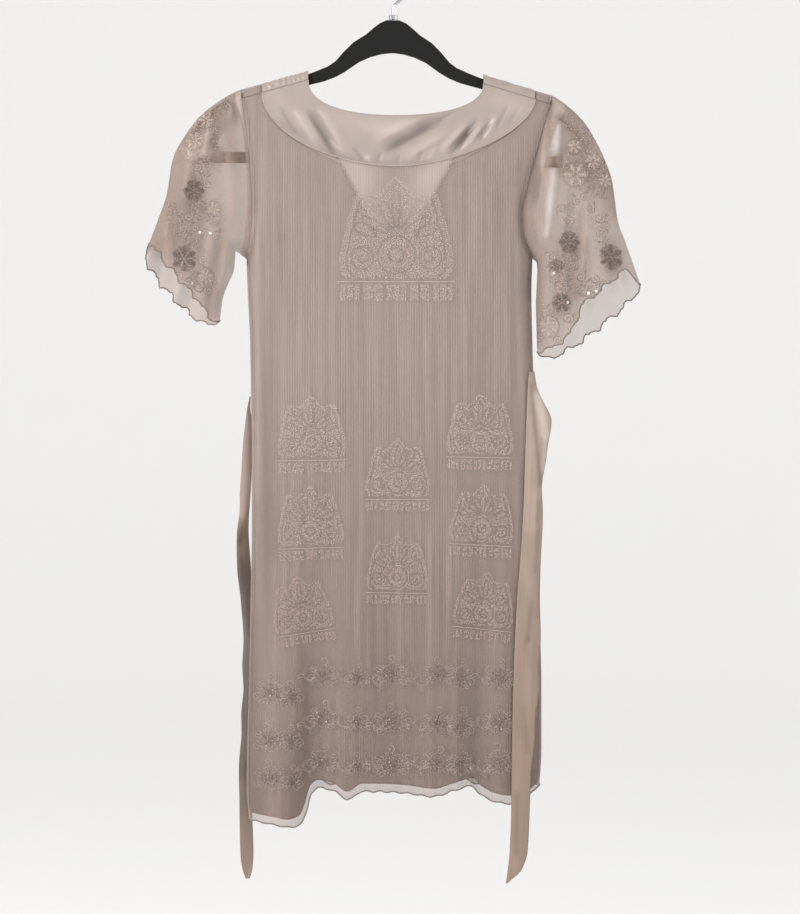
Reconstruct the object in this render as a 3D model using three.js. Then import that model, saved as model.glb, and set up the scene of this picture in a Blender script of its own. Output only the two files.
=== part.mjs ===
// A short-sleeved silk chiffon dress with a satin yoke, a V-necked lining and two satin sash ties,
// hanging on a velvet hanger. Millimetres, +Z up, front towards -Y, wearer's right side at -X.
// The origin is the inside top of the hook, where a wardrobe rail carries it.

import * as THREE from 'three';

// ---------------------------------------------------------------- driving dimensions

const wall = 1.0; // thickness of every cloth wall
const seam = 0.3; // clearance between two pieces at a seam
const armholeGap = 0.4; // clearance between a sleeve and its armhole, whose curve is tighter

const hangerTilt = THREE.MathUtils.degToRad(0.83); // the right arm hangs lower
const hangerThickness = 5;
const hangerBevel = 0.8;
const armSlope = 0.29; // fall of the hanger's arms for each millimetre outwards
const armStart = { x: 96, z: -122.8 }; // where the straight part of an arm begins
const stackHeight = 4.4; // outside of the cloth above the hanger's arm

const ridgeRadius = 12; // rounding of the cloth over the shoulder, measured downwards
const seamDrop = 10.5; // the shoulder seams lie this far below the ridge, on the front
const underarmZ = -314;
const armholeDepth = 7.5; // half the thickness of the armhole
const underarmRound = 24; // height in which the armhole opens to its full thickness
const bodyRoundness = 3; // exponent of the flattened body section

// Half the clear width and the depth of the body, seen from the front, at each height.
const sections = [
  { z: -138, left: -162, right: 171, front: 8.5, back: 8.5 },
  { z: -150, left: -159.5, right: 166.5, front: 9.5, back: 9.5 },
  { z: -172, left: -156, right: 158, front: 11.5, back: 11.5 },
  { z: -195, left: -153.5, right: 152, front: 14, back: 13.5 },
  { z: -215, left: -151.5, right: 146, front: 17, back: 15 },
  { z: -240, left: -150, right: 140, front: 19, back: 17 },
  { z: -268, left: -149, right: 134.5, front: 21, back: 18 },
  { z: -285, left: -150.5, right: 135.8, front: 22, back: 18.5 },
  { z: -300, left: -152.5, right: 140.4, front: 22.5, back: 19 },
  { z: -314, left: -155.5, right: 146, front: 23, back: 19.5 },
  { z: -345, left: -154.5, right: 145, front: 24, back: 20 },
  { z: -400, left: -152, right: 146, front: 25, back: 21 },
  { z: -450, left: -151, right: 147.5, front: 25.5, back: 22 },
  { z: -520, left: -150, right: 149, front: 26, back: 23 },
  { z: -600, left: -150, right: 151, front: 27, back: 24 },
  { z: -680, left: -151.5, right: 153, front: 28.5, back: 26 },
  { z: -760, left: -153, right: 155.5, front: 30, back: 28 },
  { z: -830, left: -155, right: 155.5, front: 32, back: 30 },
  { z: -872, left: -155.5, right: 153, front: 33, back: 31 },
  { z: -905, left: -152.5, right: 150, front: 34, back: 32 },
];

// Crests (depth above 0) and troughs (below 0) of the skirt: where each lies, how wide it is to
// each side, and the heights at which it starts and is full.
const folds = [
  { panel: 'front', x: -125, reach: 27, depth: 8, start: -560, full: -860 },
  { panel: 'front', x: -88, reach: 22, depth: -7, start: -600, full: -850 },
  { panel: 'front', x: -51, reach: 22, depth: 3.5, start: -640, full: -860 },
  { panel: 'front', x: -6, reach: 26, depth: -3, start: -520, full: -800 },
  { panel: 'front', x: 38, reach: 24, depth: 2.5, start: -560, full: -840 },
  { panel: 'front', x: 80, reach: 18, depth: -4, start: -620, full: -860 },
  { panel: 'front', x: 112, reach: 21, depth: 4.5, start: -560, full: -860 },
  { panel: 'front', x: -100, reach: 30, depth: 1.8, start: -330, full: -430 },
  { panel: 'front', x: 96, reach: 26, depth: -1.8, start: -330, full: -450 },
  { panel: 'back', x: -112, reach: 28, depth: 6, start: -540, full: -840 },
  { panel: 'back', x: -66, reach: 25, depth: -5, start: -600, full: -850 },
  { panel: 'back', x: -20, reach: 26, depth: 4, start: -500, full: -820 },
  { panel: 'back', x: 28, reach: 24, depth: -4, start: -560, full: -830 },
  { panel: 'back', x: 74, reach: 25, depth: 5, start: -600, full: -860 },
  { panel: 'back', x: 118, reach: 24, depth: -4, start: -520, full: -800 },
];
const foldSideFade = 0.06; // share of the width in which folds die away at a side seam

// Lower edge of the front, with the lobe that hangs lower at the left.
const frontHem = [
  { x: -152, z: -904 },
  { x: -124, z: -907 },
  { x: -111, z: -909.5 },
  { x: -99, z: -906 },
  { x: -92, z: -893 },
  { x: -86, z: -874 },
  { x: -77, z: -868.5 },
  { x: -62, z: -871.5 },
  { x: -47.5, z: -880 },
  { x: -33, z: -872 },
  { x: 10, z: -873.5 },
  { x: 42, z: -877 },
  { x: 60, z: -872 },
  { x: 81, z: -867 },
  { x: 90, z: -875 },
  { x: 104, z: -882 },
  { x: 122, z: -885 },
  { x: 140, z: -879 },
  { x: 152, z: -868 },
];
const backHem = { z: -867, wave: 4, waves: 6 };
const liningHemRise = 8; // the lining ends this far above the chiffon

// Scooped lines of the yoke: its seam to the chiffon, and the neck edge.
const yokeSeam = { centre: 5, halfWidth: 144, bottom: -217.7, squareLeft: 1.9, squareRight: 1.68 };
const neckEdge = { centre: 2, halfWidth: 92.3, bottom: -163.7, squareLeft: 2.3, squareRight: 2.3 };
const scoopBunching = 0.8; // how far the stations along a scoop crowd towards its steep ends

// The V neck of the lining, below the yoke seam.
// The stations on that seam, from -1 to 1, are where it starts.
const liningV = { leftAt: -0.32, rightAt: 0.295, pointX: 0, pointZ: -323 };
const liningGap = { shoulder: 0.7, body: 3.5, from: -160, to: -330 };

// Sleeve rings from the armhole to the hem: share of the length, the end under the arm and the
// end along the top, and half the thickness.
const sleeveRings = {
  left: [
    { at: 0, innerX: -155.9, innerZ: -314, outerX: -162.6, outerZ: -136.3, depth: 7.5 },
    { at: 0.15, innerX: -163.8, innerZ: -307.7, outerX: -178.5, outerZ: -142.3, depth: 9 },
    { at: 0.3, innerX: -167, innerZ: -305.6, outerX: -200.6, outerZ: -159, depth: 11 },
    { at: 0.45, innerX: -167.5, innerZ: -314, outerX: -219, outerZ: -181.7, depth: 13 },
    { at: 0.6, innerX: -169, innerZ: -326.6, outerX: -233, outerZ: -209, depth: 14.5 },
    { at: 0.75, innerX: -174.3, innerZ: -339, outerX: -238, outerZ: -243, depth: 16.5 },
    { at: 0.88, innerX: -180.5, innerZ: -356, outerX: -247, outerZ: -270, depth: 18.5 },
    { at: 1, innerX: -183.5, innerZ: -379, outerX: -257.5, outerZ: -297, depth: 20 },
  ],
  right: [
    { at: 0, innerX: 146.4, innerZ: -314, outerX: 169, outerZ: -143, depth: 7.5 },
    { at: 0.1, innerX: 149.5, innerZ: -316.5, outerX: 178, outerZ: -147.5, depth: 8.5 },
    { at: 0.22, innerX: 151.5, innerZ: -318, outerX: 192, outerZ: -158.6, depth: 10 },
    { at: 0.32, innerX: 151.2, innerZ: -325, outerX: 201, outerZ: -170, depth: 11.5 },
    { at: 0.45, innerX: 150.8, innerZ: -333, outerX: 213, outerZ: -190, depth: 13 },
    { at: 0.56, innerX: 150.5, innerZ: -340, outerX: 223, outerZ: -211, depth: 14 },
    { at: 0.66, innerX: 150, innerZ: -350, outerX: 230, outerZ: -232, depth: 15.5 },
    { at: 0.75, innerX: 149.5, innerZ: -360, outerX: 233, outerZ: -253, depth: 16.5 },
    { at: 0.83, innerX: 149.6, innerZ: -370, outerX: 236, outerZ: -274, depth: 17.5 },
    { at: 0.9, innerX: 150, innerZ: -380, outerX: 243.6, outerZ: -295, depth: 18.5 },
    { at: 1, innerX: 151, innerZ: -412, outerX: 259.5, outerZ: -340, depth: 20 },
  ],
};
const sleeveShape = {
  left: { bulgeInner: 20, bulgeOuter: 22, frontShare: 0.62, waves: 4.5, shift: 0.1 },
  right: { bulgeInner: 20, bulgeOuter: 10, frontShare: 0.55, waves: 5, shift: 0.35 },
};
const sleeveFlutes = { count: 2.5, height: 4, firmness: 2 }; // soft pipes along the sleeve
const sleeveHemWave = { height: 2.6, scallop: 2.4, from: 0.8 }; // the edge that curls to and fro
const sleeveRoundness = 2.6;
const sleeveRelease = 0.35; // share of the length in which the ring leaves the armhole's shape

// The sash ties: both edges at each height. An edge in front of the body follows its surface.
const rightSash = [
  { z: -433, inX: 142, outX: 148, outY: -8.6 },
  { z: -447, inX: 140.7, outX: 150, outY: -8.8 },
  { z: -463, inX: 140, outX: 156.5, outY: -8 },
  { z: -485, inX: 139.1, outX: 165.9, outY: -7 },
  { z: -514, inX: 138.1, outX: 161.5, outY: -9 },
  { z: -558, inX: 136.5, outX: 156.1, outY: -12 },
  { z: -610, inX: 133.9, outX: 155.4, outY: -13 },
  { z: -673, inX: 128.9, outX: 153.8, outY: -15 },
  { z: -736, inX: 125.7, outX: 152.8, outY: -18 },
  { z: -778, inX: 124.3, outX: 150.7, outY: -22 },
  { z: -841, inX: 122.9, outX: 144.5, outY: -28 },
  { z: -883, inX: 122.6, outX: 142.3, outY: -30 },
  { z: -935, inX: 120.8, outX: 139.7, outY: -30 },
  { z: -954, inX: 118.7, outX: 133.4, outY: -31 },
  { z: -968, inX: 116.9, outX: 118.2, outY: -33 },
];
const rightSashCrease = { top: -480, bottom: -552, depth: 3, across: 0.55 };
const sashLift = 1.5; // the outside of the tie above the cloth that it lies on
const leftSash = [
  { z: -459, inX: -151.4, inY: 4, outX: -151.7, outY: -1.5 },
  { z: -472, inX: -152.2, inY: 8, outX: -154.6, outY: -2.5 },
  { z: -493, inX: -153.8, inY: 14, outX: -157.6, outY: -3 },
  { z: -515, inX: -154, inY: 18, outX: -159.8, outY: -2 },
  { z: -546, inX: -154.4, inY: 20, outX: -161.5, outY: -1 },
  { z: -578, inX: -154.6, inY: 16, outX: -163.6, outY: 1 },
  { z: -604, inX: -154.6, inY: 17, outX: -165.9, outY: 3 },
  { z: -640, inX: -154.4, inY: 20, outX: -164.6, outY: 2 },
  { z: -674, inX: -155, inY: 23, outX: -160.8, outY: 1 },
  { z: -736, inX: -155, inY: 24, outX: -158.8, outY: -1 },
  { z: -800, inX: -156, inY: 24, outX: -160.2, outY: 0 },
  { z: -841, inX: -157, inY: 24, outX: -162.8, outY: 1 },
  { z: -904, inX: -154, inY: 22, outX: -162.6, outY: 2 },
  { z: -945, inX: -152.5, inY: 18, outX: -161.7, outY: 4 },
  { z: -960, inX: -153.5, inY: 14, outX: -159.5, outY: 6 },
  { z: -969, inX: -156, inY: 10, outX: -156.6, outY: 8.6 },
];
const sashCup = 1.6; // how far the middle of a tie stands off the line between its edges

// Half of the hanger's outline and of the window in it, from the middle outwards.
const hangerTop = [
  { x: 0, z: -62 },
  { x: 7, z: -62.3 },
  { x: 14, z: -65.5 },
  { x: 21, z: -71 },
  { x: 28.5, z: -77.7 },
  { x: 41.5, z: -86 },
  { x: 51, z: -95.5 },
  { x: 60, z: -106 },
  { x: 67.5, z: -111.5 },
  { x: 80, z: -117 },
  { x: 92, z: -121.6 },
  { x: 163, z: -142.4 },
  { x: 186, z: -156 },
  { x: 203, z: -172.5 },
  { x: 213, z: -189.5 },
  { x: 216.5, z: -201.5 },
  { x: 214.5, z: -210.5 },
  { x: 207, z: -215 },
];
const hangerWindow = [
  { x: 0, z: -96.6 },
  { x: 12, z: -98 },
  { x: 23.5, z: -101.3 },
  { x: 35, z: -106.5 },
  { x: 50, z: -117 },
  { x: 59.5, z: -122.5 },
  { x: 72, z: -127.5 },
  { x: 92, z: -132.6 },
  { x: 150, z: -149.5 },
  { x: 166, z: -157 },
  { x: 183, z: -169 },
  { x: 195.5, z: -182 },
  { x: 203, z: -193 },
  { x: 203, z: -200 },
  { x: 198, z: -203.5 },
];
const hook = { wire: 3.8, innerRadius: 19, tipAngle: 205, backAngle: -48, stemEnd: -61.7, stemTop: -49 };
const collar = { inner: 2.2, outer: 5, height: 5, bottom: -61.7 };

// How finely the cloth is divided.
const grid = {
  armhole: 8,
  shoulder: 2,
  yokeFront: 26,
  yokeBack: 16,
  frontRows: 22,
  backRows: 15,
  yokeRows: 3,
  flap: 8,
  liningScoop: 4,
  liningV: 3,
  liningRows: 11,
  sleeveRings: 10,
  sleeveSplit: 2,
  sashAcross: 4,
  sashAlong: 22,
};

// ---------------------------------------------------------------- finishes

const chiffon = () => new THREE.MeshStandardMaterial({ color: 0xa79289, roughness: 0.85, metalness: 0 });
const liningSilk = () => new THREE.MeshStandardMaterial({ color: 0x9c877d, roughness: 0.6, metalness: 0 });
const satin = () => new THREE.MeshStandardMaterial({ color: 0xc2b0a7, roughness: 0.35, metalness: 0 });
const sashSatin = () => new THREE.MeshStandardMaterial({ color: 0xaf9a8b, roughness: 0.4, metalness: 0 });
const velvet = () => new THREE.MeshStandardMaterial({ color: 0x15110f, roughness: 0.95, metalness: 0 });
const chrome = () => new THREE.MeshStandardMaterial({ color: 0xc9ccd0, roughness: 0.15, metalness: 1 });

// ---------------------------------------------------------------- small tools

const { clamp, lerp, smoothstep } = THREE.MathUtils;

// A list of fn(0) ... fn(1) in even steps.
function steps(count, fn) {
  return Array.from({ length: count + 1 }, (_, i) => fn(i / count, i));
}

// A smooth value of one column between the rows of a table, held at its ends and never
// overshooting the rows.
function readTable(rows, key, column, at) {
  const last = rows.length - 1;
  const rising = rows[last][key] > rows[0][key];
  let i = 0;
  while (i < last - 1 && (rising ? at > rows[i + 1][key] : at < rows[i + 1][key])) i += 1;
  const span = rows[i + 1][key] - rows[i][key];
  const t = clamp((at - rows[i][key]) / span, 0, 1);
  const secant = (j) => (rows[j + 1][column] - rows[j][column]) / (rows[j + 1][key] - rows[j][key]);
  const slopeAt = (j) => {
    if (j === 0) return secant(0);
    if (j === last) return secant(last - 1);
    const before = secant(j - 1);
    const after = secant(j);
    return before * after <= 0 ? 0 : (2 * before * after) / (before + after);
  };
  const hermiteStart = (1 + 2 * t) * (1 - t) ** 2;
  const hermiteEnd = t * t * (3 - 2 * t);
  const tangentStart = t * (1 - t) ** 2;
  const tangentEnd = t * t * (t - 1);
  return (
    hermiteStart * rows[i][column] +
    hermiteEnd * rows[i + 1][column] +
    (tangentStart * slopeAt(i) + tangentEnd * slopeAt(i + 1)) * span
  );
}

// A flattened round section: 0 at both ends, 1 in the middle.
function roundSection(share, roundness) {
  return Math.max(0, 1 - Math.abs(2 * share - 1) ** roundness) ** (1 / roundness);
}

// ---------------------------------------------------------------- cloth walls

// A sheet of cloth, held as its outer points and the quads between them.
class ClothSheet {
  constructor() {
    this.points = [];
    this.quads = [];
    this.flatEdges = new Map();
  }

  addPoint(point, edgeNormal) {
    this.points.push(point);
    if (edgeNormal) this.flatEdges.set(this.points.length - 1, edgeNormal);
    return this.points.length - 1;
  }

  // Rows of point numbers; each row runs to the right as seen from outside.
  addGrid(rows, { closed = false, flip = false } = {}) {
    for (let r = 0; r + 1 < rows.length; r += 1) {
      const width = rows[r].length;
      for (let c = 0; c < (closed ? width : width - 1); c += 1) {
        const next = (c + 1) % width;
        const quad = [rows[r][c], rows[r + 1][c], rows[r + 1][next], rows[r][next]];
        this.quads.push(flip ? quad.reverse() : quad);
      }
    }
  }

  // The outward direction at each point, averaged from the quads around it.
  normals() {
    const sums = this.points.map(() => new THREE.Vector3());
    for (const [a, b, c, d] of this.quads) {
      const across = this.points[c].clone().sub(this.points[a]);
      const along = this.points[d].clone().sub(this.points[b]);
      const normal = across.cross(along);
      for (const corner of [a, b, c, d]) sums[corner].add(normal);
    }
    for (const [index, normal] of this.flatEdges) sums[index].copy(normal);
    return sums.map((sum) => sum.normalize());
  }

  // The closed wall: the outside, the inside moved in by the thickness, and the rim.
  geometry(thickness = wall) {
    const count = this.points.length;
    const normals = this.normals();
    const inside = this.points.map((point, i) => point.clone().addScaledVector(normals[i], -thickness));
    const triangles = [];
    const edges = new Map();
    for (const quad of this.quads) {
      const [a, b, c, d] = quad;
      triangles.push(a, b, c, a, c, d);
      triangles.push(a + count, c + count, b + count, a + count, d + count, c + count);
      quad.forEach((from, i) => {
        const to = quad[(i + 1) % 4];
        if (edges.has(`${to},${from}`)) edges.delete(`${to},${from}`);
        else edges.set(`${from},${to}`, [from, to]);
      });
    }
    for (const [from, to] of edges.values()) {
      triangles.push(to, from, from + count, to, from + count, to + count);
    }
    const geometry = new THREE.BufferGeometry();
    const flat = [...this.points, ...inside].flatMap((point) => point.toArray());
    geometry.setAttribute('position', new THREE.Float32BufferAttribute(flat, 3));
    geometry.setIndex(triangles);
    geometry.computeVertexNormals();
    return geometry;
  }
}

// ---------------------------------------------------------------- the body's form

// Height of the shoulder ridge, which follows the hanger's arms and their tilt.
function ridgeZ(x) {
  const arm = armStart.z - armSlope * (Math.abs(x) - armStart.x);
  return arm - Math.tan(hangerTilt) * x + stackHeight;
}

// The shoulder point of a panel: the top of its armhole, on the shoulder seam.
function shoulderPoint(edge) {
  let z = underarmZ / 2;
  for (let i = 0; i < 12; i += 1) z = ridgeZ(readTable(sections, 'z', edge, z)) - seamDrop;
  return { x: readTable(sections, 'z', edge, z), z };
}
const shoulders = { left: shoulderPoint('left'), right: shoulderPoint('right') };

// Left or right edge of the body at a height: side seam below the arm, armhole above it.
function edgeX(edge, z) {
  return readTable(sections, 'z', edge, Math.min(z, shoulders[edge].z));
}

function foldDepth(panel, x, z) {
  let depth = 0;
  for (const fold of folds) {
    const offset = Math.abs(x - fold.x) / fold.reach;
    if (fold.panel === panel && offset < 1) {
      const grown = 1 - smoothstep(z, fold.full, fold.start);
      depth += fold.depth * grown * Math.cos((offset * Math.PI) / 2) ** 2;
    }
  }
  return depth;
}

// Half the thickness of the body at its edge: the armhole above the underarm, else the seam.
function edgeDepth(z, inset) {
  const opened = Math.sqrt(clamp((z - underarmZ) / underarmRound, 0, 1));
  return lerp(seam / 2, armholeDepth - inset, opened);
}

// Distance of a panel from the middle plane, at a share of the width and a height. A positive
// inset gives the layer that lies that far inside.
function bodyDepth(panel, share, x, z, inset) {
  const full = readTable(sections, 'z', panel, z) - inset;
  const edge = edgeDepth(z, inset);
  const below = clamp((ridgeZ(x) - inset - z) / (ridgeRadius - inset), 0, 1);
  const overRidge = Math.sqrt(1 - (1 - below) ** 2);
  const sideFade = smoothstep(Math.min(share, 1 - share), 0, foldSideFade);
  const flat = (edge + (full - edge) * roundSection(share, bodyRoundness)) * overRidge;
  return flat + foldDepth(panel, x, z) * sideFade;
}

function shareOf(x, z, inset = 0) {
  const left = edgeX('left', z) + inset;
  const right = edgeX('right', z) - inset;
  return clamp((x - left) / (right - left), 0, 1);
}

function bodyPoint(panel, share, z, inset = 0) {
  const x = lerp(edgeX('left', z) + inset, edgeX('right', z) - inset, share);
  const out = panel === 'front' ? -1 : 1;
  return new THREE.Vector3(x, out * bodyDepth(panel, share, x, z, inset), z);
}

// How far the lining lies inside the outside of the chiffon.
function liningInset(z) {
  const spread = 1 - smoothstep(z, liningGap.to, liningGap.from);
  return wall + lerp(liningGap.shoulder, liningGap.body, spread);
}

function hemZ(panel, x) {
  if (panel === 'front') return readTable(frontHem, 'x', 'z', x);
  const width = edgeX('right', backHem.z) - edgeX('left', backHem.z);
  return backHem.z + backHem.wave * Math.sin((2 * Math.PI * backHem.waves * x) / width);
}

// ---------------------------------------------------------------- lines that the pieces share

// A point of a scooped line, from -1 at the left shoulder seam to 1 at the right one.
function scoopPoint(scoop, at) {
  const across = scoopBunching * Math.sin((at * Math.PI) / 2) + (1 - scoopBunching) * at;
  const square = across < 0 ? scoop.squareLeft : scoop.squareRight;
  const endX = scoop.centre + Math.sign(across) * scoop.halfWidth;
  const endZ = ridgeZ(endX) - seamDrop;
  const drop = Math.max(0, 1 - Math.abs(across) ** square) ** (1 / square);
  return { x: scoop.centre + scoop.halfWidth * across, z: lerp(endZ, scoop.bottom, drop) };
}

// Armhole points from the underarm up to the shoulder seam, closer together at the underarm.
function armholeLine(edge, count) {
  return steps(count, (t) => {
    const z = lerp(underarmZ, shoulders[edge].z, t ** 1.5);
    return { x: edgeX(edge, z), z };
  });
}

function straightLine(from, to, count) {
  return steps(count, (t) => ({ x: lerp(from.x, to.x, t), z: lerp(from.z, to.z, t) }));
}

// The upper edge of a chiffon panel from underarm to underarm, in named stretches.
function chiffonTop(yokeCount) {
  const scoop = steps(yokeCount, (t) => scoopPoint(yokeSeam, 2 * t - 1));
  const leftArm = armholeLine('left', grid.armhole);
  const rightArm = armholeLine('right', grid.armhole).reverse();
  const leftShoulder = straightLine(leftArm.at(-1), scoop[0], grid.shoulder);
  const rightShoulder = straightLine(scoop.at(-1), rightArm[0], grid.shoulder);
  return joinLines([leftArm, leftShoulder, scoop, rightShoulder, rightArm]);
}

// One line from several that meet end to end, with the place where each one starts.
function joinLines(lines) {
  const points = [];
  const starts = [];
  for (const line of lines) {
    starts.push(Math.max(points.length - 1, 0));
    points.push(...(points.length ? line.slice(1) : line));
  }
  return { points, starts };
}

// ---------------------------------------------------------------- panels

const rowSpacing = (t) => t - (0.6 * Math.sin(2 * Math.PI * t)) / (2 * Math.PI);

// Shares of the hem's width at which the columns end: crowded towards both side seams.
function hemShare(t) {
  const fromSide = Math.min(t, 1 - t);
  const sidePart = 0.17;
  const sideShare = 0.12;
  const inner = (fromSide - sidePart) / (0.5 - sidePart);
  const share = fromSide < sidePart ? sideShare * (fromSide / sidePart) ** 2 : lerp(sideShare, 0.5, inner);
  return t < 0.5 ? share : 1 - share;
}

// A panel from its upper edge to its hem. Each column starts on the upper edge and ends at the
// hem; the first and last are the side seams.
function panelRows(sheet, panel, top, rowCount, insetAt, hemRise) {
  const inwards = top.length - 1;
  const sideways = [new THREE.Vector3(-1, 0, 0), new THREE.Vector3(1, 0, 0)];
  const columns = top.map((start, i) => {
    const endShare = hemShare(i / inwards);
    const hemInset = insetAt(backHem.z);
    const hemX = bodyPoint(panel, endShare, backHem.z, hemInset).x;
    const end = hemZ(panel, hemX) + hemRise;
    const startShare = shareOf(start.x, start.z, insetAt(start.z));
    const onArmhole = Math.abs(startShare - 0.5) > 0.4999;
    const fall = (shoulders.left.z - start.z) / (shoulders.left.z - underarmZ);
    const haste = onArmhole ? clamp(fall, 0, 1) ** 2 : 0;
    return steps(rowCount, (t) => {
      const z = lerp(start.z, end, rowSpacing(t));
      const moved = lerp(smoothstep(t, 0, 0.7), 1 - (1 - t) ** 3, haste);
      const share = lerp(startShare, endShare, moved);
      const onSeam = i === 0 ? sideways[0] : sideways[1];
      const point = bodyPoint(panel, share, z, insetAt(z));
      return sheet.addPoint(point, i === 0 || i === inwards ? onSeam : undefined);
    });
  });
  return steps(rowCount, (_, r) => columns.map((column) => column[r]));
}

// The stretch of a back piece that passes over the shoulder ridge to the seam on the front.
// The points given lie on the back at the seam's drop; the rows run from the front to them.
function overShoulder(sheet, indices, insetAt) {
  const rows = steps(grid.flap, (t) => {
    if (t === 1) return indices;
    return indices.map((index) => {
      const { x, z } = sheet.points[index];
      const onFront = t < 0.5;
      const path = onFront ? (seamDrop - seam) * (1 - 2 * t) : seamDrop * (2 * t - 1);
      const inset = insetAt(z);
      const height = Math.min(ridgeZ(x) - path, ridgeZ(x) - inset);
      const depth = bodyDepth(onFront ? 'front' : 'back', shareOf(x, z, inset), x, height, inset);
      return sheet.addPoint(new THREE.Vector3(x, onFront ? -depth : depth, height));
    });
  });
  return rows;
}

function chiffonPanel(panel) {
  const sheet = new ClothSheet();
  const back = panel === 'back';
  const { points, starts } = chiffonTop(back ? grid.yokeBack : grid.yokeFront);
  const rowCount = back ? grid.backRows : grid.frontRows;
  const rows = panelRows(sheet, panel, points, rowCount, () => 0, 0);
  sheet.addGrid(rows, { flip: back });
  if (back) {
    for (const start of [starts[1], starts[3]]) {
      const ends = rows[0].slice(start, start + grid.shoulder + 1);
      sheet.addGrid(overShoulder(sheet, ends, () => 0), { flip: true });
    }
  }
  return sheet.geometry();
}

// The yoke: a scooped band between the yoke seam and the neck edge.
function yokePiece(panel) {
  const sheet = new ClothSheet();
  const back = panel === 'back';
  const columns = steps(back ? grid.yokeBack : grid.yokeFront, (t) => {
    const outer = scoopPoint(yokeSeam, 2 * t - 1);
    const inner = scoopPoint(neckEdge, 2 * t - 1);
    const first = seam / Math.hypot(inner.x - outer.x, inner.z - outer.z);
    return steps(grid.yokeRows, (w) => {
      const across = lerp(first, 1, w);
      const x = lerp(outer.x, inner.x, across);
      const z = lerp(outer.z, inner.z, across);
      return sheet.addPoint(bodyPoint(panel, shareOf(x, z), z));
    });
  });
  const rows = steps(grid.yokeRows, (_, r) => columns.map((column) => column[r])).reverse();
  sheet.addGrid(rows, { flip: back });
  if (back) {
    const leftEnd = columns[0];
    const rightEnd = [...columns.at(-1)].reverse();
    sheet.addGrid(overShoulder(sheet, leftEnd, () => 0), { flip: true });
    sheet.addGrid(overShoulder(sheet, rightEnd, () => 0), { flip: true });
  }
  return sheet.geometry();
}

// The lining: armhole, shoulder and yoke seam as the chiffon, and a V between them.
function liningPanel(panel) {
  const sheet = new ClothSheet();
  const back = panel === 'back';
  const insideArm = (edge) => armholeLine(edge, grid.armhole).map(({ x, z }) => {
    const inset = liningInset(z);
    return { x: x + (edge === 'left' ? inset : -inset), z };
  });
  const leftScoop = steps(grid.liningScoop, (t) => scoopPoint(yokeSeam, lerp(-1, liningV.leftAt, t)));
  const rightScoop = steps(grid.liningScoop, (t) => scoopPoint(yokeSeam, lerp(liningV.rightAt, 1, t)));
  const leftArm = insideArm('left');
  const rightArm = insideArm('right').reverse();
  const vPoint = { x: liningV.pointX, z: liningV.pointZ };
  const { points, starts } = joinLines([
    leftArm,
    straightLine(leftArm.at(-1), leftScoop[0], grid.shoulder),
    leftScoop,
    straightLine(leftScoop.at(-1), vPoint, grid.liningV),
    straightLine(vPoint, rightScoop[0], grid.liningV),
    rightScoop,
    straightLine(rightScoop.at(-1), rightArm[0], grid.shoulder),
    rightArm,
  ]);
  const rows = panelRows(sheet, panel, points, grid.liningRows, liningInset, liningHemRise);
  sheet.addGrid(rows, { flip: back });
  if (back) {
    for (const start of [starts[1], starts[6]]) {
      const ends = rows[0].slice(start, start + grid.shoulder + 1);
      sheet.addGrid(overShoulder(sheet, ends, liningInset), { flip: true });
    }
  }
  return sheet.geometry();
}

// ---------------------------------------------------------------- sleeves

// Points of the armhole as the sleeve meets it, from the underarm over one layer to the ridge.
function armholePath(edge, panel) {
  const arm = armholeLine(edge, grid.armhole);
  const outwards = edge === 'left' ? -armholeGap : armholeGap;
  const top = shoulders[edge];
  const ridge = steps(grid.flap / 2, (t) => ({ x: top.x, z: ridgeZ(top.x) - seamDrop * (1 - t) })).slice(1);
  const fine = [];
  for (let i = 0; i + 1 < arm.length; i += 1) {
    for (let k = 0; k < grid.sleeveSplit; k += 1) fine.push([arm[i], arm[i + 1], k / grid.sleeveSplit]);
  }
  const out = panel === 'front' ? -1 : 1;
  const place = ({ x, z }) => {
    const share = edge === 'left' ? 0 : 1;
    return new THREE.Vector3(x + outwards, out * bodyDepth(panel, share, x, z, 0), z);
  };
  const armPoints = fine.map(([from, to, t]) => place(from).lerp(place(to), t));
  return [...armPoints, place(arm.at(-1)), ...ridge.map(place)];
}

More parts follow.
